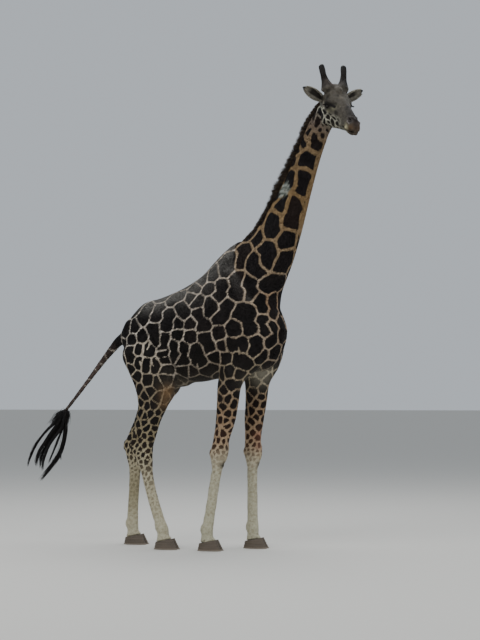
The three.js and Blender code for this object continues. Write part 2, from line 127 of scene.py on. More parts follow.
HINDLEG = [
    [2.45, 0.19, 0.12, 0.11, 0], [2.15, 0.322, 0.16, 0.175, 0.1], [1.95, 0.292, 0.175, 0.16, 0.15],
    [1.78, 0.246, 0.192, 0.126, 0.15], [1.6, 0.19, 0.206, 0.096, 0.1],
    [1.41, 0.155, 0.214, 0.076, 0.25], [1.27, 0.15, 0.216, 0.064, 0.35],
    [1.14, 0.138, 0.216, 0.066, 0.35], [1.04, 0.122, 0.216, 0.066, 0.3],
    [0.95, 0.102, 0.216, 0.058, 0.15], [0.84, 0.075, 0.216, 0.05, 0], [0.7, 0.068, 0.216, 0.046, -0.05],
    [0.53, 0.068, 0.216, 0.046, -0.1], [0.34, 0.07, 0.216, 0.05, -0.1],
    [0.225, 0.08, 0.216, 0.062, -0.1], [0.16, 0.074, 0.216, 0.058, 0], [0.1, 0.09, 0.216, 0.072, 0],
    [0.045, 0.092, 0.216, 0.074, 0],
]
STANCE = {     # where the middle of each leg stands, fore and aft, at the heights of its rows
    "foreleg_right": [0.57, 0.548, 0.488, 0.374, 0.346, 0.32, 0.271, 0.241, 0.232, 0.221, 0.193, 0.163,
                      0.131, 0.107, 0.112, 0.12, 0.122],
    "foreleg_left": [0.615, 0.618, 0.583, 0.55, 0.536, 0.512, 0.499, 0.497, 0.495, 0.493, 0.495, 0.496,
                     0.497, 0.494, 0.5, 0.508, 0.51],
    "hindleg_right": [-0.62, -0.6, -0.55, -0.514, -0.524, -0.582, -0.622, -0.652, -0.646, -0.624, -0.594,
                      -0.562, -0.514, -0.452, -0.412, -0.398, -0.384, -0.38],
    "hindleg_left": [-0.63, -0.615, -0.592, -0.614, -0.68, -0.78, -0.85, -0.912, -0.922, -0.92, -0.918,
                     -0.922, -0.932, -0.942, -0.95, -0.938, -0.926, -0.922],
}
TAIL = [       # x, z, y of its middle, and its radius
    [-0.9, 2.365, 0, 0.06], [-1.005, 2.32, 0, 0.06], [-1.1, 2.228, 0.004, 0.048],
    [-1.24, 2.07, 0.01, 0.036], [-1.4, 1.878, 0.02, 0.029], [-1.56, 1.69, 0.034, 0.025],
    [-1.7, 1.53, 0.045, 0.023], [-1.745, 1.478, 0.049, 0.02],
]
SIDES = {"right": -1, "left": 1}
TUBE_MESH = (90, 72)       # rings and points round each, on the way to one skin
TAIL_MESH = (90, 24)
BALL_MESH = (24, 32)
BALL_POLE = 0.02


def turn(axis, degrees):
    """The 3 x 3 matrix of a turn about X, Y or Z."""
    c, s = math.cos(math.radians(degrees)), math.sin(math.radians(degrees))
    i, j = {"x": (1, 2), "y": (2, 0), "z": (0, 1)}[axis]
    matrix = np.eye(3)
    matrix[i, i] = matrix[j, j] = c
    matrix[i, j], matrix[j, i] = -s, s
    return matrix


HEAD_PLACE = np.array([1.600, -0.203, 4.786])
HEAD_TURN = turn("z", -47.8) @ turn("y", 22.5) @ turn("x", 2)


def from_head(points):
    """Points of the head's frame in the body's frame: turned with the head, then moved to its place."""
    return np.asarray(points) @ HEAD_TURN.T + HEAD_PLACE


def to_head(points):
    """Points of the body's frame in the head's frame."""
    return (np.asarray(points) - HEAD_PLACE) @ HEAD_TURN


def unit(vectors):
    """A vector, or each of many, over its length."""
    return vectors / np.linalg.norm(vectors, axis=-1, keepdims=True)


def smooth_rows(rows, t):
    """The rows joined by a Catmull-Rom curve and read at each t, from 0 at the first row to 1 at the last."""
    rows = np.asarray(rows, float)
    place = np.clip(t, 0, 1) * (len(rows) - 1)
    at = np.minimum(place.astype(int), len(rows) - 2)
    f = (place - at)[:, None]
    a, b = rows[np.maximum(at - 1, 0)], rows[at]
    c, d = rows[at + 1], rows[np.minimum(at + 2, len(rows) - 1)]
    square, cube = 2 * a - 5 * b + 4 * c - d, 3 * b - a - 3 * c + d
    return 0.5 * (2 * b + (c - a) * f + square * f ** 2 + cube * f ** 3)


def oval(rows, t, angle, grow=0.0):
    """Points of an oval tube: from the under line towards the back line by (cos a + 1) / 2, and out by
    half width times sin a, less where the oval is fuller low down."""
    row = smooth_rows(rows, t)
    back = np.stack([row[:, 0], np.zeros(len(t)), row[:, 1]], axis=1)
    under = np.stack([row[:, 2], np.zeros(len(t)), row[:, 3]], axis=1)
    reach = 1 + 2 * grow / np.linalg.norm(back - under, axis=1)
    along = (reach * np.cos(angle) + 1) / 2
    points = under + (back - under) * along[:, None]
    points[:, 1] = row[:, 4] + (row[:, 5] + grow) * np.sin(angle) * (1 - row[:, 6] * np.cos(angle))
    return points


def round_tube(rows, t, angle, grow=0.0):
    """Points of a round tube along rows of x, z, y, radius, its rings square to the path in side view."""
    row = smooth_rows(rows, t)
    step = smooth_rows(rows, np.minimum(t + 0.01, 1)) - smooth_rows(rows, np.maximum(t - 0.01, 0))
    across = unit(np.stack([-step[:, 1], step[:, 0]], axis=1))
    radius = row[:, 3] + grow
    return np.stack([row[:, 0] + across[:, 0] * radius * np.cos(angle),
                     row[:, 2] + radius * np.sin(angle),
                     row[:, 1] + across[:, 1] * radius * np.cos(angle)], axis=1)


def grid(point_at, rings, sides, closed=True):
    """A tube's points and faces from point_at(t, angle), t from 0 to 1 and the angle all round.
    Where it is closed, a fan of triangles shuts each end."""
    t, angle = np.meshgrid(np.linspace(0, 1, rings), np.arange(sides) * 2 * math.pi / sides, indexing="ij")
    points = point_at(t.ravel(), angle.ravel())
    i, j = np.meshgrid(np.arange(rings - 1), np.arange(sides), indexing="ij")
    a, b = i * sides + j, i * sides + (j + 1) % sides
    faces = np.stack([a, b, b + sides, a + sides], axis=-1).reshape(-1, 4).tolist()
    if closed:
        j = np.arange(sides)
        last = (rings - 1) * sides
        middles = [points[:sides].mean(0), points[last:].mean(0)]
        first_fan = np.stack([(j + 1) % sides, j, np.full(sides, len(points))], axis=1)
        last_fan = np.stack([last + j, last + (j + 1) % sides, np.full(sides, len(points) + 1)], axis=1)
        points = np.vstack([points, middles])
        faces += first_fan.tolist() + last_fan.tolist()
    return points, faces


def leg_sizes(name):
    """A leg's rows of sizes, and which side it is on."""
    return FORELEG if name.startswith("fore") else HINDLEG, SIDES[name.split("_")[1]]


def leg_rows(name):
    """A leg's rows in the form of the trunk's: its rings lie level, and it stops in the top of the hoof."""
    sizes, side = leg_sizes(name)
    return [[x - deep, z, x + deep, z, side * y, wide, full]
            for (z, deep, y, wide, full), x in list(zip(sizes, STANCE[name]))[:-1]]


def ball(halves, middle, pitch=0.0):
    """An ellipsoid of these half sizes, turned about Y and moved to its middle: cos of its latitude along X,
    and sin of it times the cos and sin of the angle along Y and Z. Its poles are a small flat each."""
    def point_at(t, angle):
        latitude = math.pi * (BALL_POLE + (1 - 2 * BALL_POLE) * t)
        round_off = np.stack([np.cos(latitude), np.sin(latitude) * np.cos(angle),
                              np.sin(latitude) * np.sin(angle)], axis=1)
        return (round_off * halves) @ turn("y", math.degrees(pitch)).T + middle
    return grid(point_at, *BALL_MESH)


EAR_ROOT = np.array([-0.172, 0.112, 0.024])
EAR_TIP = np.array([-0.182, 0.362, 0.147])
EAR_HALF_WIDTHS = [[0.036], [0.046], [0.054], [0.060], [0.061], [0.058], [0.050], [0.036], [0.012]]
EAR_CUP = 0.034
EAR_HALF_THICK = 0.0075
EAR_USUAL_HALF = 0.050     # the half width at which the cup and the thickness are as given
EAR_MESH = (60, 60)
EAR_ALONG = EAR_TIP - EAR_ROOT
EAR_LENGTH = np.linalg.norm(EAR_ALONG)
EAR_LINE = EAR_ALONG / EAR_LENGTH
EAR_TURNED = np.array([1, 0.3, 0.1])       # which way the hollow is turned, before it is squared to the line
EAR_OPENING = EAR_TURNED - EAR_LINE * (EAR_TURNED @ EAR_LINE)
EAR_OPENING /= np.linalg.norm(EAR_OPENING)
EAR_ACROSS = np.cross(EAR_LINE, EAR_OPENING)


def ear_points(t, angle, side):
    """A cupped leaf: out from root to tip, half width times cos a across it, and its two faces a thickness
    apart, sunk between the edges by the depth of the cup. In the head's frame."""
    half = smooth_rows(EAR_HALF_WIDTHS, t)[:, 0]
    cup = EAR_CUP * half / EAR_USUAL_HALF * (1 - 0.5 * t)
    depth = EAR_HALF_THICK * (half / EAR_USUAL_HALF) ** 0.4 * np.sin(angle) - cup * (1 - np.cos(angle) ** 2)
    points = EAR_ROOT + EAR_ALONG * t[:, None] + EAR_ACROSS * (half * np.cos(angle))[:, None]
    points = points + EAR_OPENING * (depth + cup * 0.6)[:, None]
    return points * [1, side, 1]


HORN_ROOT = np.array([-0.120, 0.066, 0.120])
HORN_TIP = np.array([-0.286, 0.135, 0.386])
HORN_RADII = [[0.066], [0.078], [0.064], [0.050], [0.040], [0.035], [0.033], [0.033], [0.032], [0.028]]
HORN_BOW = 0.014
HORN_ROUND = (0.92, 0.081)       # where the round top begins, and how long it is, as shares of the horn
HORN_MESH = (50, 48)
HORN_UNDER_SKIN = 0.62           # how far up the skin covers the bone
HORN_LINE = HORN_TIP - HORN_ROOT
HORN_STRAIGHT = HORN_LINE / np.linalg.norm(HORN_LINE)
HORN_DEEP = np.array([1.0, 0, 0]) - HORN_STRAIGHT * HORN_STRAIGHT[0]
HORN_DEEP /= np.linalg.norm(HORN_DEEP)
HORN_WIDE = np.cross(HORN_STRAIGHT, HORN_DEEP)


def horn_points(t, angle, side, grow=-0.002):
    """A cone about a line that bows outward by its bow times 4t(1-t), with a round top and lumps of a few
    millimetres. In the head's frame."""
    top = np.clip((t - HORN_ROUND[0]) / HORN_ROUND[1], 0, 0.999)
    radius = (smooth_rows(HORN_RADII, t)[:, 0] + grow) * np.sqrt(1 - top ** 2)
    radius = radius * (1 + 0.035 * np.sin(3 * angle + 9 * t + side) + 0.025 * np.sin(5 * angle - 14 * t))
    points = HORN_ROOT + HORN_LINE * t[:, None] + HORN_DEEP * (radius * np.cos(angle))[:, None]
    points += HORN_WIDE * (radius * np.sin(angle))[:, None]
    points[:, 1] += HORN_BOW * 4 * t * (1 - t)
    return points * [1, side, 1]


LEGS = list(STANCE)
shapes = [grid(lambda t, a, rows=rows: oval(rows, t, a, -COAT_DEPTH), *TUBE_MESH)
          for rows in [TRUNK, NECK, *map(leg_rows, LEGS)]]
shapes.append(grid(lambda t, a: round_tube(TAIL, t, a, -COAT_DEPTH / 3), *TAIL_MESH))
shapes.append(ball((0.150, 0.066, 0.072), (-0.265, 0, 1.848), -0.1))          # sheath
shapes.append(ball((0.054, 0.058, 0.106), (-0.590, 0, 1.862)))                # scrotum
for side in SIDES.values():
    shapes.append(ball((0.164, 0.069, 0.324), (0.520, side * 0.262, 2.430), 0.25))    # shoulder blade
    shapes.append(ball((0.129, 0.064, 0.169), (0.770, side * 0.175, 2.330), 0.1))     # point of the shoulder
head_shapes = [grid(lambda t, a: oval(SKULL, t, a, -COAT_DEPTH / 2), *TUBE_MESH),
               ball((0.064, 0.050, 0.054), (-0.048, 0, 0.140), 0.5)]          # a bull's lump on the forehead
for side in SIDES.values():
    head_shapes.append(grid(lambda t, a: ear_points(t, a, side), *EAR_MESH))
    head_shapes.append(grid(lambda t, a: horn_points(HORN_UNDER_SKIN * t, a, side, 0.001 - 0.006 * t ** 2),
                            *HORN_MESH))
    head_shapes.append(ball((0.050, 0.028, 0.017), (-0.004, side * 0.120, 0.037), 0.15))      # brow
    head_shapes.append(ball((0.090, 0.032, 0.072), (-0.092, side * 0.094, -0.150), -0.5))     # cheek muscle
shapes += [(from_head(points), faces) for points, faces in head_shapes]


# ---- one skin over it ----
# The tubes are drawn into one closed hide with even small faces. Round the head, space is stretched while
# that is done, so that the face gets finer ones. Then folds between parts are eased, as hide does.
HEAD_FINENESS = 3.3          # how much smaller the head's faces are
HEAD_REACH = 0.45
WHOLE_REACH = 10             # farther from the head than any point of the body
FACE_SIZE = 0.0216
EASING = (0.6, -0.35)        # shares of the way to the neighbours' mean: there, and partly back


def stretched(points, back=False):
    """Distances from the head times its fineness within its reach, and pushed out by the same step beyond;
    with back, the other way."""
    offsets = points - HEAD_PLACE
    distance = np.linalg.norm(offsets, axis=1)
    near = np.array([0, HEAD_REACH, WHOLE_REACH])
    far = np.array([0, HEAD_REACH * HEAD_FINENESS, WHOLE_REACH + HEAD_REACH * (HEAD_FINENESS - 1)])
    known, wanted = (far, near) if back else (near, far)
    return HEAD_PLACE + offsets * (np.interp(distance, known, wanted) / np.maximum(distance, 1e-6))[:, None]


def new_piece(name, points, faces, smooth=True):
    """An object of these points and faces, in the body's frame, set at its place in the row."""
    mesh = bpy.data.meshes.new(name)
    mesh.from_pydata((np.asarray(points) + BODY_PLACE).tolist(), [], faces)
    mesh.polygons.foreach_set("use_smooth", np.full(len(mesh.polygons), smooth))
    piece = bpy.data.objects.new(name, mesh)
    bpy.context.scene.collection.objects.link(piece)
    return piece


def one_skin(parts, size):
    """The closed parts joined in one surface of square faces of that size, as points and faces."""
    counts = np.cumsum([0] + [len(points) for points, _ in parts])
    faces = [[corner + first for corner in face]
             for (_, group), first in zip(parts, counts) for face in group]
    rough = new_piece("rough", stretched(np.vstack([points for points, _ in parts])), faces)
    remesh = rough.modifiers.new("remesh", "REMESH")
    remesh.mode = "VOXEL"
    remesh.voxel_size = size
    drawn = rough.evaluated_get(bpy.context.evaluated_depsgraph_get()).to_mesh()
    points = np.empty(len(drawn.vertices) * 3)
    drawn.vertices.foreach_get("co", points)
    corners = np.empty(len(drawn.loops), int)
    drawn.loops.foreach_get("vertex_index", corners)
    bpy.data.objects.remove(rough)
    return stretched(points.reshape(-1, 3) - BODY_PLACE, back=True), corners.reshape(-1, 4)


def squared_faces(points, faces):
    """The cross product of each four-sided face's diagonals: along its normal, and twice its area long."""
    return np.cross(points[faces[:, 2]] - points[faces[:, 0]], points[faces[:, 3]] - points[faces[:, 1]])


def summed(ends, values, count):
    """The values, three for each end, summed for each of the points that the ends stand for."""
    return np.stack([np.bincount(ends, values[:, k], count) for k in range(3)], axis=1)


def normals_of(points, faces):
    """Unit normals at the points: the cross products of each face's diagonals, summed at its corners."""
    return unit(summed(faces.ravel(), np.repeat(squared_faces(points, faces), 4, axis=0), len(points)))


def eased(points, faces, weight, rounds):
    """Each point moved towards the mean of its neighbours by its weight, again and again, and back a little
    after each step so that thin parts keep their size."""
    edges = np.sort(np.vstack([faces[:, [k, (k + 1) % 4]] for k in range(4)]), axis=1)
    edges = np.unique(edges, axis=0)
    ends, others = np.vstack([edges, edges[:, ::-1]]).T
    count = np.bincount(ends, minlength=len(points))[:, None]
    for step in EASING * rounds:
        mean = summed(ends, points[others], len(points)) / count
        points = points + (mean - points) * (step * weight)[:, None]
    return points


skin, skin_faces = one_skin(shapes, FACE_SIZE)


# ---- the parts of the skin ----
# Hide moves differently over each part, and its hair and markings change from part to part. Each point
# belongs to the part whose axis it is nearest to, and after that the skin is eased, least on head and tail.
def axis_of(rows, place=lambda points: points, count=48):
    """The middle points of an oval tube from its first row to its last, and its mean half size at each."""
    row = smooth_rows(rows, np.linspace(0, 1, count))
    back = np.stack([row[:, 0], row[:, 4], row[:, 1]], axis=1)
    under = np.stack([row[:, 2], row[:, 4], row[:, 3]], axis=1)
    return place((back + under) / 2), np.linalg.norm(back - under, axis=1) / 4 + row[:, 5] / 2


def ear_axis(side):
    """An ear's middle line and its half width."""
    t = np.linspace(0.12, 1, 20)
    middle = EAR_ROOT + EAR_ALONG * t[:, None]
    return from_head(middle * [1, side, 1]), smooth_rows(EAR_HALF_WIDTHS, t)[:, 0] * 0.8 + 0.01


tail_row = smooth_rows(TAIL, np.linspace(0, 1, 40))
AXES = {"trunk": axis_of(TRUNK), "neck": axis_of(NECK), "head": axis_of(SKULL, from_head),
        "ear_right": ear_axis(-1), "ear_left": ear_axis(1),
        "tail": (tail_row[:, [0, 2, 1]], tail_row[:, 3]), **{name: axis_of(leg_rows(name)) for name in LEGS}}
PARTS = list(AXES)


def place_on_parts(points):
    """For each point, its part's number in PARTS, and how far along that part's axis it lies, from 0 to 1:
    the axis point that is nearest in terms of its half size."""
    best = np.full(len(points), np.inf)
    part = np.zeros(len(points), int)
    along = np.zeros(len(points))
    for number, (middles, sizes) in enumerate(AXES.values()):
        for k, (middle, size) in enumerate(zip(middles, sizes)):
            distance = np.linalg.norm(points - middle, axis=1) / size
            nearer = distance < best
            best[nearer], part[nearer], along[nearer] = distance[nearer], number, k / (len(middles) - 1)
    return part, along


def on_part(part, *names):
    """Which points belong to parts whose names start so."""
    return np.isin(part, [k for k, name in enumerate(PARTS) if name.startswith(names)])


def between(value, low, high):
    """A smooth step: 0 below low, 1 above high."""
    f = np.clip((value - low) / (high - low), 0, 1)
    return f * f * (3 - 2 * f)


part, along = place_on_parts(skin)
height = skin[:, 2]
HEAD_EASE, TAIL_EASE, LEG_EASE = 0.35, 0.25, 0.3       # against 1 on trunk and neck
LEG_TOP = (1.5, 2.0)                                   # heights between which the leg's ease runs into 1
EASE_ROUNDS = 14
ease = np.ones(len(skin))
ease[on_part(part, "head", "ear")] = HEAD_EASE
ease[on_part(part, "tail")] = TAIL_EASE
on_legs = on_part(part, "fore", "hind")
ease[on_legs] = LEG_EASE + (1 - LEG_EASE) * between(height[on_legs], *LEG_TOP)
skin = eased(skin, skin_faces, ease, EASE_ROUNDS)


# ---- muscle, bone and folds that show through the hide ----
# Each is a soft ridge or hollow along a straight line, from one place to another, with its reach and height
# in metres. Those beside the midline are made on both sides.
def risen(points, normals, start, end, reach, height):
    """Points moved along their normals by the height times (1 - q squared) squared, where q is the distance
    from the line between start and end over the reach."""
    start, line = np.asarray(start, float), np.asarray(end, float) - start
    near = np.abs(points - start - line / 2).max(axis=1) < np.abs(line).max() / 2 + reach
    offsets = points[near] - start
    f = np.clip(offsets @ line / max(line @ line, 1e-9), 0, 1)
    q = np.linalg.norm(offsets - f[:, None] * line, axis=1) / reach
    points[near] += normals[near] * (height * np.clip(1 - q * q, 0, 1) ** 2)[:, None]


BODY_FORMS = [
    ((0.36, 0.24, 3.02), (0.60, 0.31, 2.36), 0.090, 0.010),      # ridge of the shoulder blade
    ((0.24, 0.34, 2.95), (0.38, 0.36, 2.35), 0.110, -0.014),     # hollow behind it
    ((0.42, 0.33, 2.30), (0.60, 0.30, 2.05), 0.140, 0.014),      # muscle over the elbow
    ((0.36, 0.30, 1.93), (0.39, 0.29, 1.86), 0.070, 0.018),      # elbow
    ((0.28, 0.29, 1.97), (0.33, 0.34, 2.26), 0.050, -0.014),     # fold behind the elbow
    ((0.70, 0.24, 2.62), (0.82, 0.17, 2.22), 0.060, -0.012),     # groove before the shoulder
    ((-0.32, 0.30, 2.64), (-0.28, 0.33, 2.44), 0.140, -0.022),   # hollow of the flank
    ((-0.46, 0.27, 2.69), (-0.50, 0.30, 2.63), 0.080, 0.018),    # hip bone
    ((-0.22, 0.27, 2.00), (-0.40, 0.31, 2.36), 0.050, 0.013),    # fold from flank to stifle
    ((-0.34, 0.29, 1.98), (-0.50, 0.31, 2.28), 0.045, -0.010),   # groove behind that fold
    ((-0.22, 0.34, 2.62), (-0.04, 0.35, 2.06), 0.050, 0.007),    # last rib
    ((-0.72, 0.27, 2.52), (-0.70, 0.26, 1.85), 0.050, -0.011),   # groove down the thigh
    ((-0.88, 0.11, 2.50), (-0.89, 0.11, 2.44), 0.070, 0.014),    # pin bone
    ((0.42, 0.09, 3.36), (0.10, 0.09, 3.12), 0.050, -0.006),     # beside the withers
    ((0.78, 0.17, 2.90), (1.29, 0.095, 4.42), 0.050, -0.011),    # groove of the neck vein
    ((0.56, 0.20, 3.10), (1.14, 0.10, 4.30), 0.060, 0.007),      # long muscle of the neck
    ((0.66, 0.22, 2.62), (0.50, 0.25, 3.02), 0.060, -0.010),     # neck meets shoulder
]
FIRST_RIB = 0.20
RIB_GAP = 0.062
for rib in range(9):
    x = FIRST_RIB - RIB_GAP * rib
    BODY_FORMS.append(((x, 0.33, 2.72), (x - 0.09, 0.35, 2.12), 0.030, 0.0045))
MIDDLE_FORMS = [
    ((0.93, 0, 2.95), (1.38, 0, 4.45), 0.050, 0.006),            # windpipe
    ((0.90, 0, 2.66), (0.93, 0, 2.24), 0.055, -0.016),           # between the shoulder points
    ((0.70, 0, 2.00), (0.30, 0, 1.90), 0.060, 0.010),            # breast bone
    ((0.30, 0, 3.33), (-0.55, 0, 2.78), 0.030, 0.005),           # spine
    ((-0.60, 0, 2.77), (-0.95, 0, 2.42), 0.040, 0.006),          # rump bone to tail
]
# on a leg: height, how far to the front and how far to the outside (-1 to 1), for both ends
FORELEG_FORMS = [
    (1.74, 0.3, 0.8, 1.42, 0.3, 0.8, 0.080, 0.011), (1.74, -0.5, 0.7, 1.40, -0.5, 0.7, 0.070, 0.008),
    (1.76, -0.1, 0.95, 1.20, -0.1, 0.95, 0.030, -0.008),         # groove down the forearm
    (1.11, 0.8, 0, 1.00, 0.85, 0, 0.060, 0.014), (1.03, 0.1, 0.8, 1.00, 0.1, 0.8, 0.055, 0.008),
    (1.03, 0.1, -0.8, 1.00, 0.1, -0.8, 0.055, 0.008),            # bones of the knee
    (1.07, -0.85, 0, 1.05, -0.85, 0, 0.045, 0.016),              # bone behind the knee
    (1.015, 0.8, -0.6, 1.015, 0.8, 0.6, 0.016, -0.006), (0.975, 0.8, -0.6, 0.97, 0.8, 0.6, 0.016, -0.006),
    (0.94, 0.8, 0.2, 0.91, 0.85, 0.1, 0.022, 0.010),             # folds and callus under the knee
]
HINDLEG_FORMS = [
    (1.86, 0.85, 0.2, 1.76, 0.85, 0.2, 0.090, 0.016),            # kneecap
    (1.66, 0.3, 0.7, 1.34, 0.35, 0.6, 0.080, 0.010),             # shin muscle
    (1.58, -0.35, 0.95, 1.16, -0.42, 0.9, 0.045, -0.018),        # hollow before the heel tendon
    (1.52, -0.35, -0.95, 1.16, -0.42, -0.9, 0.045, -0.018),
    (1.15, -0.9, 0, 1.09, -0.9, 0, 0.050, 0.018),                # point of the hock
    (1.03, 0.2, 0.8, 0.99, 0.2, 0.8, 0.055, 0.009), (1.03, 0.2, -0.8, 0.99, 0.2, -0.8, 0.055, 0.009),
]
BOTH_LEG_FORMS = [
    (0.84, -0.85, 0, 0.33, -0.85, 0, 0.032, 0.007),              # tendons behind the cannon bone
    (0.84, -0.35, 0.95, 0.33, -0.35, 0.95, 0.026, -0.009),
    (0.84, -0.35, -0.95, 0.33, -0.35, -0.95, 0.026, -0.009),     # hollows beside them
    (0.24, 0.3, 0.8, 0.22, 0.3, 0.8, 0.050, 0.008), (0.24, 0.3, -0.8, 0.22, 0.3, -0.8, 0.050, 0.008),
    (0.25, -0.8, 0, 0.22, -0.8, 0, 0.050, 0.010),                # fetlock
    (0.155, 0.9, 0, 0.150, 0.9, 0, 0.040, -0.006), (0.13, -0.8, 0, 0.12, -0.8, 0, 0.045, 0.006),
]


def on_leg(name, z, fore, out):
    """A place on a leg: its middle at that height, moved by parts of its half depth and half width."""
    sizes, side = leg_sizes(name)
    heights, depths, middles, widths, _ = np.array(sizes)[::-1].T
    x, deep, y, wide = (np.interp(z, heights, column)
                        for column in (STANCE[name][::-1], depths, middles, widths))
    return np.array([x + fore * deep, side * (y + out * wide), z])


lie = normals_of(skin, skin_faces)
for start, end, reach, rise in BODY_FORMS:
    for side in SIDES.values():
        risen(skin, lie, np.multiply(start, [1, side, 1]), np.multiply(end, [1, side, 1]), reach, rise)
for start, end, reach, rise in MIDDLE_FORMS:
    risen(skin, lie, start, end, reach, rise)
for name in LEGS:
    for z0, fore0, out0, z1, fore1, out1, reach, rise in BOTH_LEG_FORMS + (
            FORELEG_FORMS if name.startswith("fore") else HINDLEG_FORMS):
        risen(skin, lie, on_leg(name, z0, fore0, out0), on_leg(name, z1, fore1, out1), reach, rise)

# on the head, in its own frame
HEAD_FORMS = [
    ((0.040, 0.122, 0.047), (-0.050, 0.128, 0.050), 0.030, 0.007),       # brow
    ((0.000, 0.140, -0.004), (0.000, 0.145, -0.004), 0.042, -0.007),     # eye socket
    ((-0.030, 0.138, -0.052), (0.130, 0.105, -0.085), 0.030, 0.009),     # cheek bone
    ((0.050, 0.120, 0.040), (0.180, 0.085, -0.005), 0.040, -0.007),      # hollow of the nose's side
    ((0.030, 0.125, -0.135), (0.170, 0.088, -0.150), 0.050, -0.011),     # hollow before the cheek muscle
    ((-0.150, 0.105, -0.225), (0.120, 0.080, -0.222), 0.028, 0.006),     # jaw
    ((0.250, 0.078, -0.090), (0.340, 0.075, -0.085), 0.040, -0.005),     # behind the nostril
    ((0.350, 0.072, -0.150), (0.462, 0.030, -0.165), 0.034, 0.009),      # upper lip
    ((0.450, 0.020, -0.207), (0.310, 0.060, -0.210), 0.030, 0.011),      # lower lip
    ((-0.150, 0.128, 0.090), (-0.220, 0.090, 0.060), 0.050, -0.010),     # hollow between horn and ear
    ((-0.200, 0.120, -0.060), (-0.150, 0.120, -0.200), 0.035, -0.008),   # behind the jaw
]
for start, end, reach, rise in HEAD_FORMS:
    for side in SIDES.values():
        risen(skin, lie, *from_head(np.multiply([start, end], [1, side, 1])), reach, rise)
NOSE_BRIDGE = [(0.100, 0, 0.092), (0.360, 0, -0.012)]
risen(skin, lie, *from_head(NOSE_BRIDGE), 0.040, 0.005)

MOUTH = [(0.272, -0.172), (0.300, -0.168), (0.390, -0.182), (0.445, -0.185), (0.470, -0.185)]
NOSTRIL = [(0.380, -0.064), (0.400, -0.070), (0.418, -0.084)]
FAR_OFF = 9.0          # more than any distance on the animal
LINE_OVERLAP = 1.5     # neighbouring bits of a line add up where they meet
LAST_EASE = (0.25, 0.5)      # on the head and ears, and on the rest
MUZZLE_LINES = [       # places (x, z in the head's frame) that a line joins over the skin, reach and height
    ([(0.370, -0.046), (0.400, -0.048), (0.432, -0.062)], 0.020, 0.009),       # upper rim of the nostril
    ([(0.372, -0.088), (0.400, -0.098), (0.432, -0.104)], 0.020, 0.009),       # its lower rim
    (NOSTRIL, 0.015, -0.022),
    (MOUTH, 0.014, -0.012),
]
in_head = to_head(skin)
for places, reach, rise in MUZZLE_LINES:
    for side in SIDES.values():
        beyond = FAR_OFF * (in_head[:, 1] * side < 0)
        snapped = [skin[np.argmin(np.hypot(in_head[:, 0] - x, in_head[:, 2] - z) + beyond)]
                   for x, z in places]
        for start, end in zip(snapped[:-1], snapped[1:]):
            risen(skin, lie, start, end, reach, rise / LINE_OVERLAP)
skin = eased(skin, skin_faces, np.where(on_part(part, "head", "ear"), *LAST_EASE), 1)

# each leg ends in a flat cut just inside the hoof's upper edge, the coronet, which slopes down to the heels
CORONET_HEIGHT = 0.098
CORONET_SLOPE = 0.2
FOOT_SINK = 0.003          # how far below the coronet the skin ends
FOOT_END = 0.100           # height of the flat lower end that easing leaves
FOOT_SHIFT = 0.060         # how far up the foot follows the slope
FOOT_FLARE = 0.13          # how much the foot widens to the hoof, and over what height
FLARE_RISE = 0.050
for name in LEGS:
    foot_x, foot_y = STANCE[name][-2], leg_rows(name)[-1][4]
    foot = on_part(part, name)
    coronet = CORONET_HEIGHT + CORONET_SLOPE * (skin[foot, 0] - foot_x) - FOOT_SINK
    skin[foot, 2] += (coronet - FOOT_END) * between(skin[foot, 2], FOOT_END + FOOT_SHIFT, FOOT_END)
    skin[foot, 2] = np.maximum(skin[foot, 2], coronet)
    flare = FOOT_FLARE * between(skin[foot, 2], coronet + FLARE_RISE, coronet)
    skin[foot, :2] += (skin[foot, :2] - (foot_x, foot_y)) * flare[:, None]


# ---- markings ----
# Dark patches on a paler ground, as in a net: each patch grows about its own centre until it meets its
# neighbours, and a pale line is left between them. Lines are thin on the trunk and broad on the neck. Down
# the legs the patches shrink to spots and fade. The near side's centres are given one by one, as places in
# the camera's frame (across, down), and a long patch has two or three. On the rest they are strewn at
# distances that suit the place.
NECK_PATCHES = [
    (315, 136, 318, 143), (305, 159, 313, 163), (303, 176, 307, 189), (295, 207, 293, 219), (287, 241),
    (289, 258, 281, 266), (267, 287, 279, 281), (309, 129, 307, 133), (303, 138, 302, 143), (294, 160),
    (290, 177), (281, 203), (272, 220, 271, 231), (266, 247, 267, 260), (257, 239), (252, 260, 256, 271),
    (245, 250, 241, 260), (231, 261, 226, 271), (213, 276), (296, 148), (277, 196), (317, 119, 317.5, 125),
    (321, 129, 323, 134), (323, 126, 326, 130), (314, 114, 313.5, 118), (310, 121, 309, 125), (306, 124),
]
CHEEK_PATCHES = [
    (321, 113, 322, 118), (328, 117), (334, 118), (339, 120, 340, 122), (337, 124), (333, 122, 334, 126),
    (328.5, 122), (324, 121, 326, 124), (330, 126, 332, 128), (342, 124, 343, 127), (338, 128), (325, 112),
    (331, 113), (336, 114), (341, 117),
]
SHOULDER_PATCHES = [
    (236, 279, 236, 293), (249, 281, 252, 293), (222, 285, 219, 296), (241, 311, 252, 312, 251, 328),
    (260, 300, 263, 309), (264, 320, 265, 330), (273, 303, 274, 314), (273, 326, 273, 341),
    (281, 320, 284, 336), (280, 300, 280, 309), (229, 344, 242, 345), (256, 341, 256, 350), (262, 357),
    (275, 353), (226, 357), (239, 359, 246, 364), (228, 371), (231, 386, 239, 384), (284, 350), (268, 366),
    (222, 345), (233, 329), (219, 333),
]
BACK_PATCHES = [
    (210, 288), (196, 289), (190, 297), (172, 300, 180, 297), (197, 302), (211, 302, 211, 310),
    (181, 306, 185, 315), (160, 307, 156, 317), (148, 308, 143, 318), (137, 308), (163, 299), (203, 280),
]
